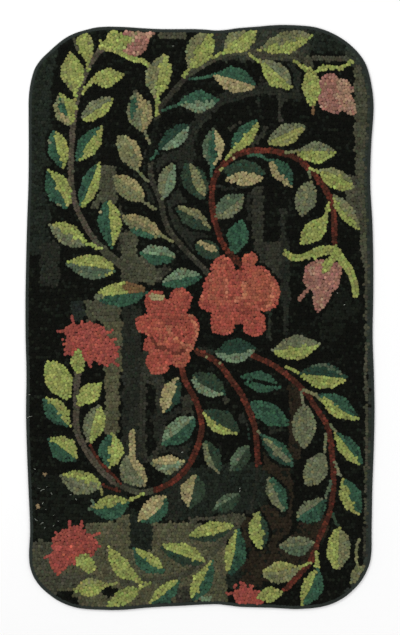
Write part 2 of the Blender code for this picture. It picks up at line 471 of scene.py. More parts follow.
# The stems and the leaves' stalks
STEMS = [
    Band("taupe", 1.4, -25.8, 69.6, -28, 67, -29.6, 64, -31, 60.4, -32.3, 56, -32.9, 52, -33.3, 47,
         -33.5, 42, -33.6, 37, -33.2, 33, -32.2, 29, -30.8, 25.8, -29, 22.5, -27, 19.6, -25.4, 17.9),
    Band("bark", 2.2, -25.4, 17.9, -22.8, 15.5, -20.5, 13.8, -18, 12.4),
    Band("mole", 1.4, 2.4, 11, 0.3, 13.4, -2.8, 16.4, -5.3, 19.3, -7.8, 22.4, -9.3, 25.8, -9.9, 29,
         -10.8, 31.8, -12.2, 34.8, -12.9, 38, -12.7, 41),
    Band("soot", 1.5, -12.7, 41, -12.4, 44, -11.8, 48, -11.2, 52),
    Band("mole", 1.3, -11.2, 52, -10, 55, -8.2, 57.4, -5.7, 60.3, -3, 63.3),
    Band("bark", 1.7, -3, 63.3, 0, 65.3, 3, 67, 6, 68.3,
         9, 68.9, 13, 69.1, 17, 68.8, 22, 68.4, 26, 67.6, 28.6, 65.8),
    Band("burgundy", 1.4, 9.4, 15.6, 11, 13.2),
    Band("burgundy", 1.5, 10.4, 13.8, 8.5, 15.5, 7, 17.6, 5.5, 20, 4.7, 22.5, 3.9, 25, 3.3, 28, 3, 31,
         3.2, 34, 3.9, 36.6, 5.2, 38.8, 7, 40.6, 9.5, 42.3, 12.5, 43.3, 16, 43.5, 20, 43.2, 24, 42,
         27, 40, 30, 37, 32.5, 33.6, 34, 30.6, 34.7, 28, 35, 24, 35, 19.5),
    Band("burgundy", 1.5, -4.9, -13, -4, -16, -2.5, -19, -1, -22, 0, -25, 0.5, -28, 0, -31.5,
         -1, -34.5, -2.6, -38, -5, -41, -8, -43.3, -11, -44.7, -12.8, -45.3),
    Band("bark", 1.6, -12.8, -45.3, -15, -45.6, -17, -45.3, -20, -44.2, -22.5, -42.7),
    Band("taupe", 1.7, -31.8, -14, -32.2, -19, -32.2, -24, -32.3, -28, -31.5, -31, -30, -34,
         -28, -37, -25.5, -40, -22.5, -42.7),
    Band("burgundy", 0.5, -28.9, -32.5, -27.4, -35.6, -25.2, -38.8),
    Band("burgundy", 0.9, -25.2, -38.8, -22.8, -41.0, -20.4, -43.5),
    Band("burgundy", 0.9, -25.0, -43.9, -20.8, -45.2),
    Band("burgundy", 1.5, -0.8, -8.9, 2, -10.1, 4.5, -11.8, 6.5, -14, 8.5, -16.8, 10.5, -19.5,
         12, -22.5, 13.3, -25.5, 14.2, -28.5, 14.7, -32, 14.9, -35, 15.1, -38),
    Band("burgundy", 1.4, 12.8, -9.5, 17, -11.3, 20, -13, 23, -15.2, 26, -18, 28.5, -21, 30.5, -24,
         32.5, -27, 33.7, -30, 34.2, -34, 34.6, -38, 34.8, -42, 34.6, -46, 34, -50, 32.5, -54,
         31, -57.5, 29.8, -61, 28.4, -64, 25.8, -67, 22.4, -70.8),
    Band("bark", 1.4, 10.8, -52.6, 9.2, -54.9, 6.2, -58.2, 3, -61.6, 0, -64.2, -3.5, -66.6, -8, -68,
         -14, -68.8, -21, -69.2),
    Band("lime", 0.9, -29.3, 64, -28.9, 67.6),
    Band("lime", 1.1, -30.5, 58.8, -28, 61.6),
    Band("lime", 1.0, -32.4, 57.2, -32.8, 59.2),
    Band("lime", 1.0, -29, 19.4, -26, 18),
    Band("lime", 1.2, -11.2, 53, -11.1, 58.6),
    Band("grey_sage", 0.7, -14.5, 48.8, -13, 45.2),
    Band("moss", 0.9, -16.9, 57.6, -16.8, 59),
    Band("grey_sage", 0.8, -15.8, 38, -13.7, 35.3),
    Band("khaki", 0.8, -14.5, 30.3, -11.9, 28.2),
    Band("khaki", 0.9, -9.8, 21.2, -7.2, 19.9),
    Band("teal", 0.8, -12.8, 41, -10.4, 44),
    Band("teal", 0.7, -9.8, 53.9, -5.2, 55.6),
    Band("lime", 0.9, -4.4, 62.8, -2.4, 65.2),
    Band("teal", 0.7, -2.8, 62.2, 0.6, 62.4, 4.2, 63.3),
    Band("lime", 0.9, 3.6, 67.6, 7, 69.9),
    Band("lime", 0.8, 15.2, 69.7, 19, 69.9),
    Band("lime", 1.0, 13, 68.4, 16.8, 65.8),
    Band("teal", 0.8, 3, 36.6, 3.2, 39.6),
    Band("lime", 0.9, 6.9, 41.5, 8.8, 43.9),
    Band("khaki", 0.9, 22.3, 43.1, 25.6, 43),
    Band("lime", 0.9, 29, 38.6, 31.6, 37.7),
    Band("teal", 0.8, 12.4, 42.1, 15, 42.3, 18, 41),
    Band("grey_sage", 0.7, 28.4, 38, 28.9, 35.4),
    Band("lime", 1.2, 33.6, 30, 32.9, 27, 32.4, 25.2),
    Band("tan", 1.6, -17.7, -30.1, -17.6, -36.6),
    Band("lime", 0.9, -14.7, -45.9, -18.6, -47.6),
    Band("dull_lime", 0.8, -25.7, -44.6, -25.5, -45.8),
    Band("grey_sage", 0.6, 14.9, -29.5, 16.6, -31.4),
    Band("lime", 0.9, 22.3, -12.7, 27.2, -15.1),
    Band("khaki", 0.9, 27, -18.8, 31.2, -20.6),
    Band("grey_sage", 0.8, 33.9, -27.8, 35.6, -30.4),
    Band("grey_sage", 0.8, 35.2, -38, 36.5, -41.2),
    Band("shade_green", 0.7, 34.6, -51, 35.6, -54),
    Band("grey_sage", 0.9, 26.5, -19.3, 27, -23),
    Band("grey_sage", 1.0, 32.8, -30.2, 32.5, -35),
    Band("fog", 0.8, 34.2, -42.5, 32.6, -47.4),
    Band("khaki", 0.7, 41.4, -57.7, 40.7, -60, 40.8, -64.2),
    Band("lime", 0.9, 28.4, -63.8, 25.6, -65.3),
    Band("lime", 1.2, 30.2, -61, 30.6, -66),
    Band("dull_lime", 0.8, -21.2, -69.2, -24.6, -69.7),
    Band("lime", 0.8, -14.1, -68.9, -16.2, -69.0),
    Band("lime", 0.7, -13, -69.2, -15.8, -70.3),
]

# The leaves: base, tip, width, left and right yarn, bend to the left, and where the yarns part
LEAVES = [
    Blade(-28.9, 66.0, -31.0, 75.0, 4.6, "lime", "dull_lime", split=-0.4, peak=1.2),
    Band("moss", 0.8, -32.9, 73.3, -32.4, 71.5, -32.1, 69.9),
    Blade(-32.4, 57.8, -33.9, 69.6, 6.2, "dull_lime", "lime", split=0.1, sharp=1.2),
    Blade(-34.0, 49.8, -36.4, 58.4, 5.9, "khaki", "lime", split=-0.1),
    Blade(-35.6, 38.7, -38.1, 49.1, 5.4, "teal", "lime", split=0.1),
    Blade(-34.2, 28.2, -39.6, 38.6, 6.3, "teal", "lime", split=0.1),
    Blade(-28.9, 18.7, -39.4, 24.3, 5.6, "grey_sage", "lime"),
    Blade(-21.8, 12.3, -35.3, 14.2, 6.3, "fog", "lime", peak=0.85),
    Blade(-28.9, 61.4, -19.9, 63.3, 4.9, "lime", sharp=1.05),
    Blade(-31.5, 51.0, -22.5, 57.2, 4.9, "grey_sage", "lime", split=-0.1, peak=1.15),
    Blade(-32.2, 40.6, -25.5, 49.8, 5.4, "teal", "lime"),
    Blade(-31.2, 28.2, -26.2, 40.6, 4.7, "teal", "lime"),
    Blade(-22.8, 17.3, -24.0, 30.5, 6.2, "teal", "lime", split=0.05, peak=1.35),
    Blade(-11.5, 57.0, -9.0, 68.6, 6.7, "khaki", "lime", bend=0.6, split=0.1),
    Blade(-14.7, 48.2, -16.8, 58.6, 6.6, "grey_sage", "rust_tan", split=-0.15),
    Blade(-15.9, 38.1, -21.3, 47.9, 5.6, "khaki", "rust_tan", bend=-0.3, split=-0.45),
    Blade(-14.2, 30.2, -22.7, 37.0, 5.5, "khaki", "rust_tan", split=-0.1),
    Blade(-9.6, 21.0, -20.3, 26.4, 5.2, "khaki", "rust_tan", split=-0.1),
    Blade(-6.0, 15.7, -15.8, 16.7, 5.2, "teal", "pale_sage", split=0.05),
    Blade(0.8, 10.6, -10.2, 8.6, 5.0, "teal", "pale_sage", bend=-0.6),
    Blade(-10.8, 43.6, -2.5, 50.4, 5.0, "deep_teal", "pale_sage"),
    Blade(-9.7, 30.6, -7.0, 40.4, 4.7, "grey_sage", "pale_sage", bend=0.3, split=-0.1),
    Blade(-5.6, 55.9, 5.0, 56.5, 5.7, "teal", "pale_sage"),
    Blade(-3.0, 64.6, 3.0, 75.0, 6.9, "khaki", "lime", split=0.25),
    Blade(3.4, 63.3, 14.8, 60.2, 6.5, "teal", "tan", bend=0.2, split=-0.05),
    Blade(6.0, 69.2, 14.9, 75.2, 6.4, "khaki", "lime", split=0.3),
    Blade(15.6, 69.8, 29.4, 73.6, 5.7, "khaki", "lime"),
    Blade(16.0, 66.8, 24.0, 59.6, 5.9, "grey_sage", "lime", split=0.15),
    Blade(3.2, 38.9, 3.6, 49.5, 5.7, "fog", "tan", split=-0.25),
    Blade(7.9, 43.0, 15.3, 51.5, 4.9, "teal", "lime", split=0.15),
    Blade(17.4, 45.3, 27.6, 49.9, 5.4, "grey_sage", "dull_lime", split=0.05),
    Blade(24.9, 42.9, 35.6, 43.0, 5.6, "grey_sage", "lime", split=0.15),
    Blade(30.8, 38.3, 40.5, 33.6, 5.1, "khaki", "lime", split=0.45),
    Blade(34.4, 32.1, 41.7, 22.7, 4.0, "khaki", "lime", split=0.1),
    Blade(6.2, 38.2, 17.0, 37.6, 6.0, "shade_green", sharp=0.7),
    Blade(6.9, 36.0, 16.4, 36.2, 3.6, "tan", sharp=0.7),
    Blade(18.0, 41.3, 24.0, 33.9, 4.6, "teal", "tan", bend=0.5, split=-0.1),
    Blade(4.0, 25.8, 11.5, 31.8, 5.8, "fog", "grey_sage", bend=0.4, split=-0.2),
    Blade(8.6, 16.2, 11.0, 25.4, 5.6, "teal", peak=1.2),
    Blade(28.8, 35.8, 26.3, 26.3, 5.6, "grey_sage"),
    Blade(33.3, 26.0, 26.0, 19.0, 5.2, "lime"),
    Blade(1.2, 30.6, -3.8, 40.4, 6.4, "shade_green"),
    Blade(1.3, 31.4, -2.6, 39.8, 2.9, "khaki"),
    Blade(3.1, 22.7, -6.4, 28.9, 4.8, "shade_green", "khaki", split=-0.15),
    Blade(5.4, 16.4, -1.4, 19.0, 5.0, "shade_green", sharp=0.7),
    Blade(5.2, 17.0, -1.0, 19.9, 1.7, "tan"),
    Blade(-13.7, 6.7, -28.2, 5.3, 6.4, "teal", "lime", peak=0.85),
    Blade(-34.0, -21.5, -39.7, -10.8, 6.8, "lime"),
    Blade(-33.8, -28.4, -40.7, -20.9, 5.6, "teal", "lime"),
    Blade(-31.9, -37.1, -39.5, -31.3, 6.2, "teal", "lime", split=0.05),
    Blade(-25.3, -43.8, -36.5, -41.0, 6.3, "grey_sage", "lime", bend=0.6, split=-0.15),
    Blade(-32.4, -23.0, -25.6, -17.2, 5.0, "lime", peak=1.15),
    Blade(-29.1, -32.9, -26.0, -22.4, 5.6, "grey_sage", "lime", split=0.1),
    Blade(-23.5, -39.4, -22.9, -29.8, 6.5, "teal", "lime", split=0.15),
    Blade(-14.0, -43.9, -19.4, -36.0, 6.4, "grey_sage", "tan", bend=1.0, split=-0.35),
    Band("fog", 0.6, -28.3, -47.5, -27.7, -48.6, -28.9, -50.2),
    Blade(-18.2, -48.0, -28.4, -49.9, 6.4, "teal", "lime", bend=0.6, split=-0.1),
    Blade(-5.8, -15.6, -9.6, -24.9, 5.2, "deep_teal", "tan", split=0.4),
    Blade(-1.2, -25.7, -10.2, -33.0, 6.2, "teal", "pale_sage", bend=0.4, split=-0.05),
    Blade(-4.2, -37.6, -12.9, -37.9, 4.9, "grey_sage", "tan", bend=0.6, split=-0.1),
    Blade(-2.4, -14.9, 6.8, -20.0, 6.0, "shade_green", "pale_sage", split=-0.25),
    Blade(0.8, -24.2, 10.4, -30.1, 6.0, "shade_green", "lime", split=-0.3),
    Blade(1.2, -32.0, 5.0, -40.7, 4.3, "shade_green", "grey_sage", bend=0.2, split=-0.1),
    Blade(12.8, -33.0, 7.7, -40.1, 4.4, "shade_green", "fog", bend=0.4),
    Blade(-0.9, -40.7, -2.7, -49.7, 6.4, "shade_green", "tan", split=-0.05),
    Blade(-8.6, -46.4, -16.0, -53.1, 6.4, "teal", "tan", bend=0.5, split=0.25),
    Blade(10.5, -45.7, 3.3, -50.3, 4.2, "shade_green", "fog", bend=0.4, split=-0.1),
    Blade(3.8, -9.4, 14.8, -8.0, 6.3, "deep_teal", "pale_sage", split=-0.2),
    Blade(10.3, -15.4, 21.0, -18.1, 5.4, "teal"),
    Blade(12.8, -22.0, 23.4, -28.1, 5.6, "teal"),
    Blade(15.8, -30.5, 24.4, -38.9, 4.6, "teal", "deep_teal"),
    Blade(17.7, -41.3, 22.1, -50.7, 4.7, "teal", "grey_sage", split=0.15),
    Blade(18.6, -8.8, 31.4, -7.0, 6.4, "grey_sage", "lime", split=0.1),
    Blade(25.8, -14.6, 38.5, -15.9, 6.5, "deep_teal", "lime", split=-0.05),
    Blade(30.7, -20.0, 41.4, -26.3, 5.4, "teal", "lime", split=-0.05),
    Blade(35.2, -29.9, 42.3, -38.5, 4.7, "teal", "lime"),
    Blade(37.0, -41.6, 41.5, -51.7, 5.4, "teal", "lime"),
    Blade(36.3, -54.2, 35.9, -66.2, 6.2, "khaki", "lime"),
    Blade(42.7, -64.1, 39.3, -69.3, 3.2, "khaki"),
    Blade(26.9, -22.2, 27.2, -34.3, 6.3, "grey_sage"),
    Blade(32.0, -35.0, 27.7, -44.0, 6.2, "grey_sage", bend=0.3),
    Blade(33.0, -47.3, 25.0, -52.8, 6.0, "teal", "grey_sage", bend=0.5, split=-0.35),
    Blade(29.8, -58.6, 20.7, -59.5, 5.2, "fog", "grey_sage", bend=0.5),
    Blade(26.0, -65.2, 15.8, -66.7, 5.6, "khaki", "dull_lime", bend=0.5, split=-0.15),
    Blade(30.7, -65.0, 26.6, -75.0, 5.4, "teal", "lime", bend=0.7, split=-0.15),
    Blade(15.0, -50.2, 16.4, -60.8, 5.2, "shade_green", "lime", bend=-0.5, split=0.4),
    Blade(9.8, -54.6, 7.6, -67.4, 5.4, "teal", "lime", bend=0.7, split=-0.15, peak=1.15),
    Blade(9.0, -54.3, -3.3, -57.2, 5.0, "shade_green", "lime", split=0.45),
    Blade(1.0, -63.5, -10.6, -59.4, 5.4, "shade_green", "lime", split=0.25, peak=0.8),
    Blade(3.3, -62.8, -2.2, -73.7, 5.2, "teal", "lime", bend=0.3, split=0.05, peak=1.25),
    Band("pale_sage", 1.4, 0.0, -73.4, 2.4, -73.2),
    Blade(-5.3, -68.2, -13.0, -74.7, 4.6, "teal", "lime", bend=0.3),
    Blade(-8.9, -66.3, -17.3, -60.1, 4.8, "teal", "lime", bend=0.8, split=-0.12),
    Blade(-15.4, -69.0, -23.9, -59.5, 4.4, "lime", bend=1.1),
    Blade(-24.1, -69.6, -32.8, -70.9, 4.9, "lime", "dull_lime", sharp=1.0),
    Blade(-15.3, -70.1, -24.2, -74.9, 4.0, "lime", bend=0.2),
]

# The sepals, petals and filaments, the lowest first
FLOWERS = [
    Disc(-17.4, 71.4, 4.0, 3.5, "pink"),
    Blade(-19.0, 73.4, -11.1, 74.4, 2.8, "blush"),
    Blade(-26.4, 70.2, -17.8, 72.8, 4.4, "lime"),
    Blade(-24.6, 71.2, -21.4, 75.2, 2.4, "lime"),
    Band("lime", 0.6, -25.6, 71.2, -25.9, 72.2),
    Band("lime", 1.3, -24, 70.4, -20.5, 68.8, -17.5, 67.2, -15, 66.8, -13.6, 65.7),
    Disc(33.8, 58.6, 3.5, 5.0, "pink"),
    Disc(34.6, 55.3, 3.2, 2.1, "pink"),
    Blade(35.0, 62.2, 40.3, 58.8, 2.8, "blush"),
    Blade(36.0, 59.2, 40.4, 52.4, 4.4, "blush"),
    Band("lime", 1.1, 29, 63.6, 27, 65, 24.9, 66.8),
    Band("lime", 1.2, 30, 63.6, 32, 65, 34.5, 65.2, 37, 65.2, 39.5, 66.9),
    Disc(36.8, 58.6, 1.8, 2.6, "blush"),
    Blade(29.3, 54.4, 28.7, 65.4, 4.5, "lime"),
    Band("rust", 1.0, 29.5, 54.8, 29.4, 53.4),
    Disc(31.8, 10.6, 4.9, 4.6, "pink"),
    Blade(32.4, 9.4, 30.7, 1.3, 4.4, "pink"),
    Disc(35.0, 11.5, 1.9, 3.0, "pink"),
    Band("pink", 0.9, 28, 7.4, 26.6, 5.6, 25.7, 4.5),
    Blade(35.4, 17.2, 31.7, 11.2, 2.4, "lime"),
    Band("lime", 1.8, 22.4, 16.6, 24.5, 15.6, 27, 15.8, 31, 17.5, 34, 18),
    Band("lime", 2.5, 30, 16.4, 32.5, 17.4, 35.2, 17.5),
    Band("lime", 2.4, 35.4, 17, 37.2, 14.6, 39, 12.2),
    Band("lime", 2.0, 39, 12.4, 40, 9.6, 40.7, 6.2),
    Disc(-29.2, -6.4, 6.1, 5.3, "carnation", teeth=19, depth=0.12),
    Disc(-24.8, -9.2, 3.4, 3.2, "carnation", teeth=11, depth=0.12),
    Disc(-33.0, -3.8, 2.4, 2.4, "carnation"),
    Band("carnation", 0.8, -33.6, -3.6, -36.9, -3.6),
    Band("carnation", 0.8, -33.4, -5.6, -35.9, -5.9),
    Band("carnation", 0.8, -33.2, -8.4, -35.6, -9.8),
    Band("carnation", 0.8, -32.6, -2.2, -33.4, 0.2),
    Band("carnation", 0.8, -25.2, -4.6, -23.2, -3.6),
    Band("carnation", 0.8, -23.4, -10.6, -21.1, -12.7),
    Disc(-32.6, -7.2, 2.4, 2.4, "carnation"),
    Band("carnation", 0.7, -24.2, -4.2, -22.8, -3.3),
    Band("carnation", 0.7, -23.4, -6.0, -21.9, -5.6),
    Band("carnation", 0.7, -22.6, -8.0, -21.0, -7.7),
    Band("carnation", 0.7, -34.6, -6.9, -35.9, -6.9),
    Band("carnation", 0.8, -29.4, -11.0, -28.4, -13.1),
    Blade(-31.8, -15.0, -31.6, -8.4, 3.8, "lime"),
    Disc(-33.4, -59.8, 5.3, 4.9, "carnation", teeth=17, depth=0.1),
    Disc(-36.6, -63.8, 2.6, 2.6, "carnation"),
    Disc(-29.3, -59.3, 2.6, 3.0, "carnation"),
    Disc(-32.3, -56.8, 2.4, 2.5, "carnation"),
    Band("carnation", 0.9, -34.0, -56.8, -34.0, -53.0),
    Band("carnation", 0.9, -31.6, -56.0, -30.7, -53.3),
    Band("carnation", 0.8, -36.0, -57.6, -37.9, -55.9),
    Band("carnation", 0.9, -29.0, -57.2, -26.6, -56.4),
    Band("carnation", 0.9, -28.0, -60.0, -26.3, -59.4),
    Band("carnation", 0.8, -37.8, -61.6, -40.6, -62.5),
    Band("carnation", 0.8, -36.6, -65.6, -36.6, -66.7),
    Disc(-30.2, -63.4, 2.1, 1.9, "lime"),
    Blade(-31.5, -62.4, -27.2, -66.3, 3.8, "lime"),
    Disc(11.6, -72.6, 2.9, 2.2, "carnation", power=2.6),
    Disc(14.9, -72.9, 2.4, 1.9, "carnation"),
    Band("carnation", 0.8, 9, -71.9, 6.4, -71.9),
    Disc(9.1, -69.9, 0.5, 0.6, "carnation"),
    Disc(11.1, -69.8, 0.8, 1.1, "carnation"),
    Disc(13.6, -70.0, 0.6, 0.7, "carnation"),
    Blade(21.6, -71.3, 14.8, -73.0, 3.9, "lime"),
    Disc(-11.7, 4.0, 2.7, 3.1, "coral", power=2.4),
    Disc(-5.2, 4.4, 2.9, 3.3, "coral", power=2.4),
    Disc(-3.2, -3.0, 2.9, 3.9, "coral"),
    Disc(-4.4, -6.4, 3.0, 3.6, "coral"),
    Disc(-5.4, -9.8, 2.9, 3.1, "coral"),
    Disc(-10.9, -11.6, 3.1, 3.3, "coral", power=2.4),
    Disc(-12.0, -7.2, 2.8, 2.6, "coral"),
    Disc(-13.9, -1.7, 2.9, 2.5, "coral", power=2.4),
    Disc(-8.4, -1.6, 5.6, 6.2, "coral"),
    Disc(-8.6, -8.0, 4.6, 4.4, "coral"),
    Disc(6.0, 12.0, 3.3, 4.0, "coral"),
    Disc(12.9, 15.0, 2.0, 1.8, "coral"),
    Disc(12.6, 13.4, 1.9, 2.0, "coral"),
    Disc(2.6, 4.4, 2.9, 2.9, "coral"),
    Disc(6.0, -1.0, 3.2, 3.4, "coral", power=2.8),
    Disc(14.2, -1.6, 2.9, 3.2, "coral", power=2.8),
    Disc(16.6, 6.6, 4.3, 5.0, "coral"),
    Disc(14.6, 9.2, 4.4, 4.4, "coral"),
    Disc(4.4, 7.8, 3.6, 3.8, "coral"),
    Disc(9.6, 5.2, 6.6, 7.0, "coral"),
]

# Touches of another yarn, which colour a motif's loops that are already there
TOUCHES = [
    Blade(-34.8, 50.6, -36.4, 57.2, 1.8, "teal"),
    Blade(-17.9, 51.6, -16.9, 57.6, 1.6, "teal"),
    Blade(-11.6, 20.4, -20.0, 23.4, 2.0, "teal"),
    Blade(3.1, 38.4, 3.5, 48.8, 1.9, "teal"),
    Blade(-35.4, 27.4, -38.6, 29.6, 2.4, "grey_sage"),
    Blade(-33.9, 50.4, -36.8, 53.4, 1.6, "tan"),
    Band("lime", 1.4, -23.0, 11.6, -24.6, 9.8),
    Disc(-25.8, 27.3, 0.6, 0.6, "tan"),
    Blade(-13.5, 7.4, -20.4, 8.3, 3.4, "rust"),
    Blade(-24.6, 5.2, -28.4, 5.2, 2.0, "grey_sage"),
    Blade(16.2, -31.0, 24.3, -38.8, 2.2, "grey_sage"),
    Band("pale_sage", 1.2, -9.5, -39.2, -7.0, -39.0, -5.0, -38.0),
    Band("black", 0.8, 11.3, -16.2, 16, -17.0, 20, -17.8),
    Band("rust_tan", 0.7, -16.5, 74.0, -18.0, 71.5),
    Band("fog", 0.9, 29, -12.4, 33, -12.8, 37, -14.6),
    Band("grey_sage", 0.9, -39.4, 45.8, -40.1, 44),
    Disc(4.6, 8.0, 2.6, 6.0, "brick"),
    Disc(16.5, 6.8, 4.6, 5.6, "brick"),
    Disc(12.8, 15.0, 2.0, 2.0, "brick"),
    Disc(-5.0, -10.0, 2.4, 2.6, "brick"),
    Band("light_coral", 0.8, 7.0, 9.4, 6.8, 5.6),
    Band("light_coral", 1.2, 11.6, 8.6, 11.4, 5.4, 9.6, 4.6),
    Band("light_coral", 0.9, 18.7, 9.2, 18.9, 5.5, 17.4, 3),
    Band("light_coral", 1.0, -8.4, -2.2, -7.6, -4.2, -6.0, -5.9, -4.0, -6.8, -2.8, -7.4),
    Band("light_coral", 0.9, -2.6, 0.6, -1.2, -2.4, -0.9, -5.0, -2.0, -7.4, -3.4, -9.0),
    Band("tan", 1.4, -12.8, 5.5, -10.2, 5.3),
    Band("deep_coral", 0.7, -12.4, -5.6, -11.6, -7.2, -10.4, -8.1, -9.0, -8.1),
    Band("deep_coral", 0.7, -8.6, -8.2, -7.2, -9.0, -6.0, -9.3, -4.4, -8.8),
    Disc(8.6, 41.3, 0.5, 0.5, "tan"),
    Disc(5.6, 38.7, 0.5, 0.5, "dull_lime"),
    Disc(1.5, -10.3, 0.5, 0.5, "rust_tan"),
    Disc(5.4, -11.6, 0.5, 0.5, "dull_lime"),
]

# Where the pile has worn away, and the fibres and flecks that lie on it
WornSpot = namedtuple("WornSpot", "x y radius")
WORN_SPOTS = (WornSpot(-40.6, -40.8, 0.72), WornSpot(-42.2, -49.4, 0.80))
Lint = namedtuple("Lint", "x y turn length thickness")
LINT = [Lint(*row) for row in (
    (-43.0, -39.4, -25, 0.6, 0.09), (-39.9, -44.1, 20, 0.4, 0.08), (-41.0, -45.0, 25, 1.3, 0.09),
    (-41.9, -44.4, -15, 0.7, 0.05), (-38.6, -45.8, -60, 0.7, 0.08), (-33.7, -46.1, 0, 0.5, 0.11),
    (-32.2, -47.3, -50, 0.6, 0.10), (-40.9, -48.4, 60, 0.6, 0.11), (-40.1, -50.0, 40, 0.3, 0.09),
    (-42.6, -52.6, -35, 1.0, 0.09), (-41.1, -53.6, 30, 1.0, 0.09), (-40.4, -54.8, 50, 0.5, 0.09),
    (-38.1, -54.2, 45, 0.5, 0.10), (-38.1, -51.5, 20, 0.3, 0.06), (-36.8, -53.0, -40, 0.5, 0.06),
    (-44.4, -20.1, 15, 0.5, 0.10), (-44.4, -26.0, 22, 1.6, 0.08), (10.4, -44.5, 80, 0.4, 0.16),
    (10.4, -45.2, 70, 0.4, 0.16), (37.6, 3.3, 30, 0.4, 0.15), (35.8, 6.4, -30, 0.4, 0.12),
    (-4.6, -35.1, 10, 0.5, 0.16), (-7.0, 70.7, 0, 0.5, 0.10),
)]


def outline_of_rug():
    """The rug's outline in centimetres, from the rim of the frame's edge tape, and the way inwards."""
    rim_height = 3.7 * MM
    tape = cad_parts["edge_tape"].data
    level = [v.co for v in tape.vertices if abs(v.co.z - rim_height) < 0.05 * MM]
    rim = {(round(place.x, 6), round(place.y, 6)) for place in level}
    rim = np.array(sorted(rim, key=lambda p: math.atan2(p[1], p[0]))) / CM
    rim = spline(rim, 0.3, closed=True)
    way = np.roll(rim, -1, axis=0) - np.roll(rim, 1, axis=0)
    way /= np.linalg.norm(way, axis=1, keepdims=True)
    return rim, np.stack([-way[:, 1], way[:, 0]], 1)


RIM, INWARD = outline_of_rug()


def tree_of(points):
    tree = kdtree.KDTree(len(points))
    for i, (x, y) in enumerate(points):
        tree.insert((x, y, 0), i)
    tree.balance()
    return tree


RIM_TREE = tree_of(RIM)


def inset_of(points):
    """How far each point lies inside the rug's outline."""
    nearest = np.array([RIM_TREE.find((x, y, 0))[1] for x, y in points], int)
    return ((points - RIM[nearest]) * INWARD[nearest]).sum(1)


def lump_of(points):
    """The rug's slow unevenness in metres, at points in centimetres."""
    return LUMP * 0.5 * wobble(points, 2.2 * LUMP_SPAN / CM, 0.8)


def level_rows():
    """Rows of loops across the whole rug, which wander a little."""
    low, high = RIM.min(0), RIM.max(0)
    rows = np.arange(low[1], high[1], ROW)
    steps = np.arange(low[0], high[0], LOOP)
    k, x = (v.ravel() for v in np.meshgrid(np.arange(len(rows)), steps, indexing="ij"))
    points = np.stack([x + LOOP / 2 * (k % 2), rows[k]], 1)
    points[:, 1] += 0.6 * wobble(points, 40.0, 1.1)
    return points, np.zeros(len(points)), k, x


LEVEL_ROWS = level_rows()
LEVEL_SEED = 0.25


class Layout:
    """The loops placed so far, in centimetres, with each row's heading and each strip's tone."""

    low = RIM.min(0) - CHART_MARGIN

    def __init__(self):
        self.points = np.empty((0, 2))
        self.headings = np.empty(0)
        self.tones = np.empty(0)
        size = np.ceil((RIM.max(0) + CHART_MARGIN - self.low) / CELL).astype(int)
        self.clash = np.zeros(size, bool)

    def cells(self, points):
        return np.rint((points - self.low) / CELL).astype(int).T

    def disc(self, reach):
        span = math.ceil(reach / CELL)
        ways = np.mgrid[-span : span + 1, -span : span + 1].reshape(2, -1).T
        return ways[np.hypot(*ways.T) * CELL < reach]

    def mark(self, grid, points, reach):
        column, row = self.cells(points)
        for across, up in self.disc(reach):
            grid[column + across, row + up] = True

    def add(self, points, headings, tones):
        self.points = np.vstack([self.points, points])
        self.headings = np.concatenate([self.headings, headings])
        self.tones = np.concatenate([self.tones, tones])
        self.mark(self.clash, points, CLASH)

    def add_rows(self, points, headings, rows, alongs, seed):
        """Adds the loops of a motif's rows that no other motif's loops are near."""
        points = points + RANDOM.normal(0, SCATTER, points.shape)
        kept = inset_of(points) > PILE_INSET
        kept &= ~self.clash[tuple(self.cells(points))]
        self.add(points[kept], headings[kept], strip_tone(rows, alongs, seed)[kept])

    def add_motif(self, motif, seed):
        """A motif's loops: its outline, then its own rows or, where it lies level, the rug's."""
        if not isinstance(motif, Band):
            rim, headings = motif.rim(-0.42 * ROW)
            self.squeeze_in(rim + RANDOM.normal(0, SCATTER, rim.shape), headings, LOOP * 0.95)
        if motif.level:
            held = motif.holds(LEVEL_ROWS[0])
            self.add_rows(*(v[held] for v in LEVEL_ROWS), LEVEL_SEED)
        else:
            self.add_rows(*motif.rows(), seed)

    def squeeze_in(self, points, headings, reach):
        """Adds loops one by one, each only where none is near yet."""
        grid = np.zeros_like(self.clash)
        self.mark(grid, self.points, reach)
        kept = inset_of(points) > PILE_INSET
        points, headings = points[kept], headings[kept]
        span = self.disc(reach)
        chosen = []
        for i, (column, row) in enumerate(self.cells(points).T):
            if not grid[column, row]:
                grid[column + span[:, 0], row + span[:, 1]] = True
                chosen.append(i)
        tones = RANDOM.uniform(-1, 1, len(chosen))
        self.add(points[chosen], headings[chosen], tones)

    def free_cells(self, reach):
        grid = np.zeros_like(self.clash)
        self.mark(grid, self.points, reach)
        cells = np.argwhere(~grid)
        RANDOM.shuffle(cells)
        return cells * CELL + self.low


def neighbours(points, count):
    """The nearest loops to each one: their numbers and distances."""
    tree = tree_of(points)
    found = [tree.find_n((x, y, 0), count + 1)[1:] for x, y in points]
    numbers = np.array([[n[1] for n in near] for near in found])
    return numbers, np.array([[n[2] for n in near] for near in found])


def relax(points, rounds):
    """Pushes loops apart that stand too close."""
    for _ in range(rounds):
        numbers, gaps = neighbours(points, 6)
        away = points[:, None] - points[numbers]
        push = np.clip(SPACING - gaps, 0, None) / np.maximum(gaps, 0.1)
        points = points + 0.3 * (away * push[..., None]).sum(1)
    return points


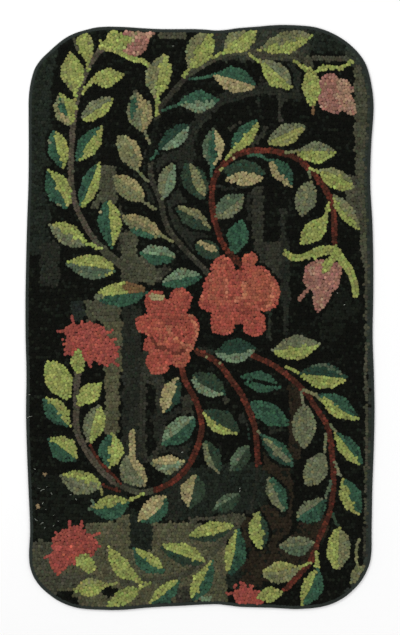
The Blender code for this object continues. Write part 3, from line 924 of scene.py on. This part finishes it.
def lay_out():
    """Places every loop: the motifs from the top down, a row round each, the ground, and what is left."""
    layout = Layout()
    motifs = STEMS + LEAVES + FLOWERS
    for seed, motif in enumerate(reversed(motifs)):
        layout.add_motif(motif, seed)
    rims = [motif.rim(ROW / 2) for motif in motifs]
    layout.squeeze_in(np.vstack([r[0] for r in rims]), np.concatenate([r[1] for r in rims]), RIM_CLASH)
    edge_row = RIM + INWARD * (PILE_INSET + 0.05)
    layout.squeeze_in(edge_row, np.arctan2(-INWARD[:, 0], INWARD[:, 1]), EDGE_CLASH)
    for seed, patch in enumerate(reversed(GROUND)):
        if patch.own_rows:
            layout.add_rows(*patch.rows(), seed + 0.5)
    layout.add_rows(*LEVEL_ROWS, LEVEL_SEED)
    left_over = layout.free_cells(GAP_FILL)
    layout.squeeze_in(left_over, RANDOM.uniform(0, math.pi, len(left_over)), GAP_FILL)
    return layout


def chart(layout):
    """Each loop's yarn, as a number in YARN_NAMES, and whether it is part of a motif."""
    points = layout.points
    yarns = np.full(len(points), number("black"))
    soft = points + 0.3 * np.stack([wobble(points, 2.3, 1.0), wobble(points, 2.3, 2.0)], 1)
    motif = np.zeros(len(points), bool)
    above = yarns.copy()
    for shape in STEMS + LEAVES + FLOWERS:
        held = shape.holds(points)
        above[held] = shape.yarns(points[held])
        motif |= held
    for shape in TOUCHES:
        held = shape.holds(points) & motif
        above[held] = shape.yarns(points[held])
    near = np.zeros_like(layout.clash)
    layout.mark(near, points[motif], HALO)
    haloed = near[tuple(layout.cells(points))]
    for patch in GROUND:
        held = patch.holds(soft)
        if patch.halo:
            held &= ~haloed
        yarns[held] = patch.yarns(points[held])
    return np.where(motif, above, yarns), motif


def mottled(yarns, tones):
    """The yarns again, with some loops and some strips in each wool's companion."""
    companions = np.array([number(COMPANIONS.get(name, name)) for name in YARN_NAMES])
    mixed = RANDOM.uniform(0, 1, len(yarns)) < np.where(tones > ODD_STRIP, ODD_SHARE, STRAY_SHARE)
    mixed |= (yarns == number("burgundy")) & (RANDOM.uniform(0, 1, len(yarns)) < BURGUNDY_SHARE)
    return np.where(mixed, companions[yarns], yarns)


def linear(colour):
    share = np.asarray(colour, float) / 255
    return np.where(share <= 0.04045, share / 12.92, ((share + 0.055) / 1.055) ** 2.4)


def yarn_colours(yarns, tones, points):
    """Each loop's own colour: its yarn's, a little lighter or darker with its strip and by chance."""
    colours = (linear([YARNS[name] for name in YARN_NAMES])[yarns] - SHEEN) / LIGHT
    slow = wobble(points, SLOW_SPAN, 3.0)
    shade = np.exp(STRIP_SHADE * tones + RANDOM.normal(0, LOOP_SHADE, len(points)) + SLOW_SHADE * slow)
    hue = np.exp(RANDOM.normal(0, LOOP_HUE, colours.shape))
    return np.clip(colours * shade[:, None] * hue, DARKEST, 1)


def new_piece(name, points, faces, material):
    """A mesh object from arrays of points and of faces with equal numbers of corners."""
    mesh = bpy.data.meshes.new(name)
    faces = np.asarray(faces)
    corners = faces.shape[1]
    mesh.vertices.add(len(points))
    mesh.vertices.foreach_set("co", np.asarray(points, np.float32).ravel())
    mesh.loops.add(faces.size)
    mesh.loops.foreach_set("vertex_index", faces.astype(np.int32).ravel())
    mesh.polygons.add(len(faces))
    mesh.polygons.foreach_set("loop_start", np.arange(len(faces), dtype=np.int32) * corners)
    mesh.update(calc_edges=True)
    mesh.shade_smooth()
    mesh.materials.append(material)
    piece = bpy.data.objects.new(name, mesh)
    bpy.context.collection.objects.link(piece)
    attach(piece, "root")
    return piece


def colour_points(piece, colours):
    """Keeps a colour at each point, which the yarn material reads."""
    full = np.ones((len(colours), 4), np.float32)
    full[:, :3] = colours
    layer = piece.data.color_attributes.new("yarn", "FLOAT_COLOR", "POINT")
    layer.data.foreach_set("color", full.ravel())


def map_points(piece, name, places):
    """A UV map from one place for each point."""
    corners = np.empty(len(piece.data.loops), np.int32)
    piece.data.loops.foreach_get("vertex_index", corners)
    layer = piece.data.uv_layers.new(name=name)
    layer.uv.foreach_set("vector", places[corners].astype(np.float32).ravel())


# A loop's rings of points, as shares of the loop's length, the row's width and the pile's height, with each
# ring's painted shade (the foot darkened where the loops shade each other, the shoulder a little) and how
# far it leans
Ring = namedtuple("Ring", "count long wide rise shade lean")
LOOP_RINGS = (
    Ring(6, 0.70, 0.66, 0.20, 0.60, 0.0),
    Ring(6, 0.63, 0.60, 0.68, 0.95, 0.5),
    Ring(5, 0.38, 0.36, 0.95, 1.0, 1.0),
    Ring(1, 0.0, 0.0, 1.02, 1.0, 1.0),
)


def belt(low, low_count, high, high_count):
    """The triangles between two rings of points, matched by angle."""
    faces = []
    i = j = 0
    while i < low_count or j < high_count:
        if j == high_count or (i < low_count and (i + 1) / low_count <= (j + 1) / high_count):
            faces.append((low + i, low + (i + 1) % low_count, high + j % high_count))
            i += 1
        else:
            faces.append((low + i % low_count, high + (j + 1) % high_count, high + j))
            j += 1
    return faces


def loop_shape():
    """One loop's points about its middle, what its rings say of each point, and its faces."""
    flat, rises, painted_shades, leans, faces = [], [], [], [], []
    for ring in LOOP_RINGS:
        angle = np.arange(ring.count) * 2 * math.pi / ring.count
        flat.append(np.stack([ring.long * LOOP * np.cos(angle), ring.wide * ROW * np.sin(angle)], 1))
        rises += [ring.rise] * ring.count
        painted_shades += [ring.shade] * ring.count
        leans += [ring.lean] * ring.count
    start = 0
    for low, high in zip(LOOP_RINGS, LOOP_RINGS[1:]):
        if high.count > 1:
            faces += belt(start, low.count, start + low.count, high.count)
        else:
            top = start + low.count
            faces += [(start + i, start + (i + 1) % low.count, top) for i in range(low.count)]
        start += low.count
    return np.vstack(flat), np.array(rises), np.array(painted_shades), np.array(leans), np.array(faces)


def map_order(points):
    """The loops in rows and columns of a square, so that near ones stay near."""
    side = math.ceil(math.sqrt(len(points)))
    by_row = np.argsort(points[:, 1])
    rows = [by_row[i : i + side] for i in range(0, len(by_row), side)]
    order = np.concatenate([row[np.argsort(points[row, 0])] for row in rows])
    return order, side


def turned(local, headings):
    """Each loop's own points, turned to its row's heading."""
    cos, sin = np.cos(headings)[:, None], np.sin(headings)[:, None]
    x, y = local[..., 0], local[..., 1]
    return np.stack([x * cos - y * sin, x * sin + y * cos], 2)


def pile(name, points, headings, sizes, tops, colours, material):
    """A piece of looped pile: each loop is a small rounded pillow of wool."""
    order, side = map_order(points)
    points, headings, sizes = points[order], headings[order], sizes[order]
    tops, colours = tops[order], colours[order]
    count = len(points)
    flat, rises, painted_shades, leans, faces = loop_shape()
    each = len(flat)
    local = flat[None] * sizes[:, None, None]
    local = local * (1 + RANDOM.normal(0, 0.08, (count, each, 1)))
    local = local + leans[None, :, None] * RANDOM.normal(0, 0.05, (count, 1, 2))
    xy = (points[:, None] + turned(local, headings)) * CM
    z = LOOP_FOOT + rises[None] * (tops - LOOP_FOOT)[:, None]
    z += (rises > 0)[None] * RANDOM.normal(0, 0.15 * MM, (count, each))
    placed = np.concatenate([xy, z[..., None]], 2).reshape(-1, 3)
    all_faces = (faces[None] + each * np.arange(count)[:, None, None]).reshape(-1, 3)
    piece = new_piece(name, placed, all_faces, material)
    # painted shade: each loop's colour darkened towards its foot, for the shade between the loops
    painted_shade_colours = colours[:, None] * painted_shades[None, :, None]
    colour_points(piece, painted_shade_colours.reshape(-1, 3))
    numbers = np.arange(count)
    cell = np.stack([numbers % side, numbers // side], 1) + 0.5
    across = flat / np.abs(flat).max() * 0.45
    map_points(piece, "OFBake", ((cell[:, None] + across[None]) / side).reshape(-1, 2))
    return piece


def back_stitches(points, headings, sizes, colours, material):
    """The plump underside of each loop's strip, on the rug's back."""
    count = len(points)
    near_side = [(-0.5, 0.0), (-0.2, -0.28), (0.2, -0.28)]
    far_side = [(0.5, 0.0), (0.2, 0.28), (-0.2, 0.28)]
    flat = np.array([*near_side, *far_side, (0, 0)]) * (LOOP, ROW)
    sag = np.array([0.0, 0.3, 0.3, 0.0, 0.3, 0.3, 1.0])
    each = len(flat)
    local = flat[None] * sizes[:, None, None]
    xy = (points[:, None] + turned(local, headings)) * CM
    z = BURLAP_BOTTOM - 0.55 * MM * sag[None] * RANDOM.uniform(0.7, 1.2, (count, 1))
    placed = np.concatenate([xy, np.maximum(z, 0.05 * MM)[..., None]], 2).reshape(-1, 3)
    fan = np.array([((i + 1) % 6, i, 6) for i in range(6)])
    faces = (fan[None] + each * np.arange(count)[:, None, None]).reshape(-1, 3)
    piece = new_piece("back_stitches", placed, faces, material)
    colour_points(piece, np.repeat(colours * 1.1, each, axis=0))
    return piece


def worn(points, grow=0.0):
    """Which points lie in a spot where the pile has worn away."""
    gaps = [np.hypot(points[:, 0] - spot.x, points[:, 1] - spot.y) - spot.radius for spot in WORN_SPOTS]
    return np.min(gaps, axis=0) < grow


def bed():
    """The burlap and the roots of the loops, one thin closed sheet."""
    rim = RIM[::4] + 0.3 * INWARD[::4]
    lattice = np.stack(np.meshgrid(np.arange(-45, 46, 1.6), np.arange(-76, 77, 1.6)), 2).reshape(-1, 2)
    lattice = lattice[inset_of(lattice) > 1.4]
    spots = [(spot.x + spot.radius * math.cos(a), spot.y + spot.radius * math.sin(a))
             for spot in WORN_SPOTS for a in np.linspace(0, 2 * math.pi, 9)[:-1]]
    flat = np.vstack([rim, lattice, spots])
    edges = [(i, (i + 1) % len(rim)) for i in range(len(rim))]
    found = geometry.delaunay_2d_cdt([Vector(p) for p in flat], edges, [], 1, 1e-6)
    flat, top_faces = np.array(found[0]), np.array(found[2])
    top = np.column_stack([flat * CM, BED_TOP + lump_of(flat)])
    top[worn(flat, 0.2), 2] -= 0.8 * MM
    top[inset_of(flat) < 0.5, 2] -= 0.9 * MM
    bottom = np.column_stack([flat * CM, np.full(len(flat), BURLAP_BOTTOM)])
    points = np.vstack([top, bottom])
    bottom_faces = top_faces[:, ::-1] + len(flat)
    sides = side_faces(top_faces, len(flat))
    faces = np.vstack([top_faces, bottom_faces, sides])
    return new_piece("burlap_bed", points, faces, burlap_material())


def side_faces(top_faces, below):
    """The faces between a flat sheet's open edge and its copy, below points further on."""
    edges = np.vstack([top_faces[:, [0, 1]], top_faces[:, [1, 2]], top_faces[:, [2, 0]]])
    there = {tuple(e) for e in edges.tolist()}
    open_edges = np.array(sorted((a, b) for a, b in there if (b, a) not in there))
    a, b = open_edges.T
    return np.vstack([np.stack([b, a, a + below], 1), np.stack([b, a + below, b + below], 1)])


def nodes_of(name):
    material = bpy.data.materials.new(name)
    material.use_nodes = True
    tree = material.node_tree
    return material, tree, tree.nodes["Principled BSDF"]


def add_node(tree, kind, settings=(), **inputs):
    """A shader node with its settings, its values and its links."""
    node = tree.nodes.new(kind)
    for key, value in dict(settings).items():
        setattr(node, key, value)
    for key, value in inputs.items():
        place = int(key[1:]) if key[1:].isdigit() else key.replace("_", " ")
        socket = node.inputs[place]
        if isinstance(value, bpy.types.NodeSocket):
            tree.links.new(value, socket)
        else:
            socket.default_value = value
    return node


def math_node(tree, operation, first, second=0.0):
    return add_node(tree, "ShaderNodeMath", {"operation": operation}, i0=first, i1=second).outputs[0]


def mix_colours(tree, share, first, second):
    node = tree.nodes.new("ShaderNodeMix")
    node.data_type = "RGBA"
    for socket, value in zip((node.inputs[0], node.inputs[6], node.inputs[7]), (share, first, second)):
        if isinstance(value, bpy.types.NodeSocket):
            tree.links.new(value, socket)
        else:
            socket.default_value = value
    return node.outputs[2]


def bump(tree, shader, height, strength, distance):
    node = add_node(tree, "ShaderNodeBump", Height=height, Strength=strength, Distance=distance)
    tree.links.new(node.outputs[0], shader.inputs["Normal"])


def matte(shader, roughness, sheen, specular):
    shader.inputs["Roughness"].default_value = roughness
    shader.inputs["Sheen Weight"].default_value = sheen
    shader.inputs["Sheen Roughness"].default_value = 0.6
    shader.inputs["Specular IOR Level"].default_value = specular


def wool_material(name, sheen):
    """Wool strips: the loop's colour with painted shade at its foot, flecked with lighter and darker fibres.
    """
    material, tree, shader = nodes_of(name)
    matte(shader, 0.95, sheen, 0.05)
    place = add_node(tree, "ShaderNodeTexCoord").outputs["Object"]
    # the yarn attribute holds each loop's yarn colour, with painted shade at the foot of the pile's loops
    yarn = add_node(tree, "ShaderNodeAttribute", {"attribute_name": "yarn"}).outputs["Color"]
    fibres = add_node(tree, "ShaderNodeTexNoise", Vector=place, Scale=1100.0, Detail=3.0, Roughness=0.6)
    fleck = add_node(tree, "ShaderNodeMapRange", i0=fibres.outputs[0], i1=0.3, i2=0.7, i3=0.78, i4=1.22)
    flecked = add_node(tree, "ShaderNodeVectorMath", {"operation": "SCALE"}, i0=yarn, Scale=fleck.outputs[0])
    tree.links.new(flecked.outputs[0], shader.inputs["Base Color"])
    fuzz = add_node(tree, "ShaderNodeTexNoise", Vector=place, Scale=1700.0, Detail=2.0)
    bump(tree, shader, fuzz.outputs[0], 0.5, 0.5 * MM)
    return material


def burlap_material():
    """Plain-woven jute, near-black on the hooked side for the wool roots and as painted shade in the gaps
    between the loops, but bare where the pile is worn.
    """
    material, tree, shader = nodes_of("burlap")
    matte(shader, 0.9, 0.1, 0.15)
    place = add_node(tree, "ShaderNodeTexCoord").outputs["Object"]
    split = add_node(tree, "ShaderNodeSeparateXYZ", Vector=place)
    thread = math.pi / (2.0 * MM)
    warp = math_node(tree, "SINE", math_node(tree, "MULTIPLY", split.outputs[0], thread))
    weft = math_node(tree, "SINE", math_node(tree, "MULTIPLY", split.outputs[1], thread))
    over = math_node(tree, "GREATER_THAN", math_node(tree, "MULTIPLY", warp, weft), 0.0)
    raised = add_node(
        tree, "ShaderNodeMix",
        i0=over, i2=math_node(tree, "ABSOLUTE", warp), i3=math_node(tree, "ABSOLUTE", weft),
    ).outputs[0]
    slub = add_node(tree, "ShaderNodeTexNoise", Vector=place, Scale=260.0, Detail=3.0).outputs[0]
    height = math_node(tree, "MULTIPLY", raised, math_node(tree, "ADD", slub, 0.6))
    dark, light = (*linear((70, 55, 36)), 1), (*linear((165, 142, 104)), 1)
    jute = mix_colours(tree, height, dark, light)
    # near-black for the wool roots, and painted shade where it shows between the loops
    roots_and_painted_shade = (*linear((14, 14, 12)), 1)
    bare = bare_share(tree, place, split.outputs[2], slub)
    tree.links.new(mix_colours(tree, bare, roots_and_painted_shade, jute), shader.inputs["Base Color"])
    bump(tree, shader, height, 0.7, 0.6 * MM)
    return material


def bare_share(tree, place, height, slub):
    """One where the burlap is bare: on the back and in the worn spots."""
    share = math_node(tree, "LESS_THAN", height, 1.5 * MM)
    for spot in WORN_SPOTS:
        level = (spot.x * CM, spot.y * CM, BED_TOP)
        gap = add_node(tree, "ShaderNodeVectorMath", {"operation": "DISTANCE"}, i0=place, i1=level)
        ragged = math_node(tree, "ADD", gap.outputs["Value"], math_node(tree, "MULTIPLY", slub, 3 * MM))
        inside = math_node(tree, "LESS_THAN", ragged, spot.radius * CM + 2 * MM)
        share = math_node(tree, "MAXIMUM", share, inside)
    return share


def tape_material():
    """Green-black cotton twill: fine slanting ribs that follow the tape."""
    material, tree, shader = nodes_of("cotton_tape")
    matte(shader, 0.8, 0.08, 0.2)
    place = add_node(tree, "ShaderNodeUVMap", {"uv_map": "cloth"}).outputs[0]
    split = add_node(tree, "ShaderNodeSeparateXYZ", Vector=place)
    slant = math_node(tree, "ADD", split.outputs[0], split.outputs[1])
    ribs = math_node(tree, "SINE", math_node(tree, "MULTIPLY", slant, 2 * math.pi / (1.1 * MM)))
    place = add_node(tree, "ShaderNodeTexCoord").outputs["Object"]
    wear = add_node(tree, "ShaderNodeTexNoise", Vector=place, Scale=45.0, Detail=4.0).outputs[0]
    tone = math_node(tree, "ADD", math_node(tree, "MULTIPLY", ribs, 0.12), wear)
    dark, light = (*linear((12, 18, 15)), 1), (*linear((33, 43, 37)), 1)
    tree.links.new(mix_colours(tree, tone, dark, light), shader.inputs["Base Color"])
    bump(tree, shader, ribs, 0.5, 0.15 * MM)
    return material


def thread_material(name, dark, light):
    """Cotton thread or loose fibre, a little lighter and darker along its twist."""
    material, tree, shader = nodes_of(name)
    matte(shader, 0.6, 0.1, 0.3)
    place = add_node(tree, "ShaderNodeTexCoord").outputs["Object"]
    twist = add_node(tree, "ShaderNodeTexNoise", Vector=place, Scale=900.0, Detail=1.0).outputs[0]
    dark, light = (*linear(dark), 1), (*linear(light), 1)
    tree.links.new(mix_colours(tree, twist, dark, light), shader.inputs["Base Color"])
    bump(tree, shader, twist, 0.4, 0.1 * MM)
    return material


# The tape's section as inset and height in millimetres, the outside from hem to lip, then the inside
TAPE_SECTION = (
    (26, 0.0), (14, 0.0), (3.0, 0.0), (0.9, 0.5), (0.05, 2.0), (0.0, 3.7), (0.9, 5.0), (2.6, 5.6),
    (5.6, 5.85), (8.8, 5.7), (9.2, 5.2), (8.8, 4.7), (5.6, 4.6), (2.6, 4.3), (1.3, 3.2), (1.3, 1.9),
    (3.2, 1.0), (26, 0.7),
)


def binding():
    """The tape folded round the rug's edge, lightly puckered by its stitches."""
    section = np.array(TAPE_SECTION)
    steps = len(RIM)
    along = np.concatenate([[0], np.cumsum(np.linalg.norm(np.diff(RIM, axis=0), axis=1))])
    phase = along / 1.15 + 1.5 * np.sin(along / 5.3)
    pucker = 0.22 * np.sin(2 * math.pi * phase) + 0.15 * np.sin(2 * math.pi * along / 3.7)
    inset, height = section.T
    lip = np.clip((height - 3.5) / 2.2, 0, 1) * np.clip(inset / 6, 0.3, 1)
    insets = inset[None] + pucker[:, None] * (1.2 * lip + 0.25)[None]
    insets = np.maximum(insets, 0.0)
    heights = height[None] + pucker[:, None] * (0.9 * lip)[None]
    xy = RIM[:, None] * CM + INWARD[:, None] * insets[..., None] * MM
    points = np.dstack([xy, heights * MM]).reshape(-1, 3)
    count = len(section)
    i, j = (v.ravel() for v in np.meshgrid(np.arange(steps), np.arange(count), indexing="ij"))
    after_i, after_j = (i + 1) % steps, (j + 1) % count
    faces = np.stack([i * count + j, i * count + after_j, after_i * count + after_j, after_i * count + j], 1)
    tape = new_piece("edge_binding", points, faces[:, ::-1], tape_material())
    across = np.concatenate([[0], np.cumsum(np.linalg.norm(np.diff(section, axis=0), axis=1))]) * MM
    places = np.dstack(np.meshgrid(across, along * CM)).reshape(-1, 2)
    map_points(tape, "cloth", places)
    return tape


def tube(points, faces, line, radius):
    """Adds a thin four-sided thread along a line, which tapers at both ends."""
    around = np.arange(4) * math.pi / 2
    start = 4 * len(points)
    ways = np.gradient(line, axis=0)
    for i, (place, way) in enumerate(zip(line, ways)):
        side = np.cross(way, (0.3, 0.2, 1.0))
        side /= np.linalg.norm(side)
        up = np.cross(side, way / np.linalg.norm(way))
        girth = 0.4 if i in (0, len(line) - 1) else 1.0
        ring = np.cos(around)[:, None] * side + np.sin(around)[:, None] * up
        points.append(place + radius * girth * ring)
    for ring in range(len(line) - 1):
        for k in range(4):
            a, b = start + 4 * ring + k, start + 4 * ring + (k + 1) % 4
            faces.append((a, b, b + 4, a + 4))
    last = start + 4 * (len(line) - 1)
    faces.append((start + 3, start + 2, start + 1, start))
    faces.append((last, last + 1, last + 2, last + 3))


def stitches():
    """Small slanting stitches along the binding's lip, and at its hem underneath."""
    points, faces = [], []
    for first, last, low, high, radius in ((7.8, 9.9, 5.85, 5.5, 0.25), (24.6, 27.0, 0.25, 0.75, 0.22)):
        for i in range(0, len(RIM) - 2, 3):
            start = np.array([*(RIM[i] * CM + INWARD[i] * first * MM), low * MM])
            end = np.array([*(RIM[i + 1] * CM + INWARD[i] * last * MM), high * MM])
            middle = 0.5 * (start + end) + (0, 0, 1.2 * radius * MM)
            tube(points, faces, np.array([start, middle, end]), radius * MM)
    thread = thread_material("sewing_thread", (26, 34, 31), (52, 66, 60))
    return new_piece("hem_stitches", np.vstack(points), faces, thread)


def lint():
    """Loose pale fibres and flecks on top of the pile, each one a short bent thread."""
    points, faces = [], []
    share = np.linspace(-0.5, 0.5, 6)
    for fibre in LINT:
        turn = math.radians(fibre.turn)
        way = np.array([math.cos(turn), math.sin(turn)])
        left = np.array([-way[1], way[0]])
        bow = 0.12 * fibre.length * np.cos(math.pi * share) * (1 if fibre.turn > 0 else -1)
        flat = np.array([fibre.x, fibre.y]) + fibre.length * share[:, None] * way + bow[:, None] * left
        top = PILE_TOP + lump_of(flat) + 0.3 * MM
        line = np.column_stack([flat * CM, top])
        tube(points, faces, line, fibre.thickness / 2 * CM)
    fibres = thread_material("lint", (112, 118, 108), (176, 182, 168))
    return new_piece("lint", np.vstack(points), faces, fibres)


def dress():
    """Makes every piece of the rug and ties it to the frame."""
    layout = lay_out()
    yarns, motif = chart(layout)
    points = relax(layout.points, 3)
    kept = ~worn(points)
    kept &= inset_of(points) > PILE_INSET - 0.1
    points, yarns, motif = points[kept], yarns[kept], motif[kept]
    headings, tones = layout.headings[kept], layout.tones[kept]
    colours = yarn_colours(mottled(yarns, tones), tones, points)
    sizes = np.clip(neighbours(points, 4)[1].mean(1) / LOOP, 0.85, 1.2)
    edge = np.clip((inset_of(points) - PILE_INSET) / 0.9, 0, 1)
    tops = PILE_TOP - 1.0 * MM * (1 - edge) ** 2 + lump_of(points) + MOTIF_RISE * motif
    tops += RANDOM.normal(0, 0.3 * MM, len(points))
    headings = headings + RANDOM.normal(0, 0.2, len(points))
    names = np.array(YARN_NAMES)[yarns]
    flowers, stems = np.isin(names, FLOWER_YARNS), np.isin(names, STEM_YARNS)
    ground = np.isin(names, GROUND_YARNS)
    wools = {
        "ground": wool_material("wool_ground", 0.01),
        "leaves": wool_material("wool_leaves", 0.06),
        "flowers": wool_material("wool_flowers", 0.06),
        "stems": wool_material("wool_stems", 0.02),
    }
    thirds = np.quantile(points[ground, 1], (1 / 3, 2 / 3))
    leaves = ~(ground | flowers | stems)
    half = np.median(points[leaves, 1])
    y = points[:, 1]
    parts = (
        ("pile_ground_foot", ground & (y < thirds[0]), "ground", "wool_ground"),
        ("pile_ground_middle", ground & (y >= thirds[0]) & (y < thirds[1]), "ground", "wool_ground"),
        ("pile_ground_head", ground & (y >= thirds[1]), "ground", "wool_ground"),
        ("pile_leaves_foot", leaves & (y < half), "leaves", "wool_leaves"),
        ("pile_leaves_head", leaves & (y >= half), "leaves", "wool_leaves"),
        ("pile_flowers", flowers, "flowers", "wool_flowers"),
        ("pile_stems", stems, "stems", "wool_ground"),
    )
    piles = [
        pile(name, points[m], headings[m], sizes[m], tops[m], colours[m], wools[wool])
        for name, m, wool, slot_name in parts
    ]
    back = back_stitches(points, headings, sizes, colours, wools["ground"])
    base = bed()
    tape = binding()
    sewing = stitches()
    loose = lint()
    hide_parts("hooked_cloth")
    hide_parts("edge_tape")
    print("LOOPS", len(points), {name: int(m.sum()) for name, m, *_ in parts})


def floor_and_lights():
    """A plain pale floor, an even sky and two soft lamps, the brighter from the upper left."""
    bpy.ops.mesh.primitive_plane_add(size=12)
    floor = bpy.context.object
    floor.name = "floor"
    material, tree, shader = nodes_of("pale_floor")
    shader.inputs["Base Color"].default_value = (0.9, 0.9, 0.9, 1)
    shader.inputs["Roughness"].default_value = 0.9
    floor.data.materials.append(material)
    world = bpy.data.worlds.new("studio")
    world.use_nodes = True
    world.node_tree.nodes["Background"].inputs[0].default_value = (1, 1, 1, 1)
    world.node_tree.nodes["Background"].inputs[1].default_value = 0.75
    bpy.context.scene.world = world
    for name, place, size, power in (
        ("key", (-2.0, 2.0, 2.4), 1.2, 62),
        ("fill", (2.4, -1.6, 2.6), 2.0, 26),
    ):
        data = bpy.data.lights.new(name, "AREA")
        data.size, data.energy = size, power
        lamp = bpy.data.objects.new(name, data)
        lamp.location = place
        lamp.rotation_euler = (-Vector(place)).to_track_quat("-Z", "Y").to_euler()
        bpy.context.collection.objects.link(lamp)


# The photograph's frame: its height in pixels, and the rug's size in it
PHOTO_HEIGHT = 635
METRES_PER_PIXEL = 1.525 / 585.8
CAMERA_HEIGHT = 4.0


def overhead_camera():
    """A long lens straight above the rug's middle."""
    data = bpy.data.cameras.new("camera")
    data.sensor_width = 36
    seen = PHOTO_HEIGHT * METRES_PER_PIXEL
    data.lens = data.sensor_width * (CAMERA_HEIGHT - PILE_TOP) / seen
    camera = bpy.data.objects.new("camera", data)
    camera.location = (0, 0, CAMERA_HEIGHT)
    bpy.context.collection.objects.link(camera)
    bpy.context.scene.camera = camera


dress()
floor_and_lights()
overhead_camera()
bpy.context.scene.view_settings.view_transform = "Standard"
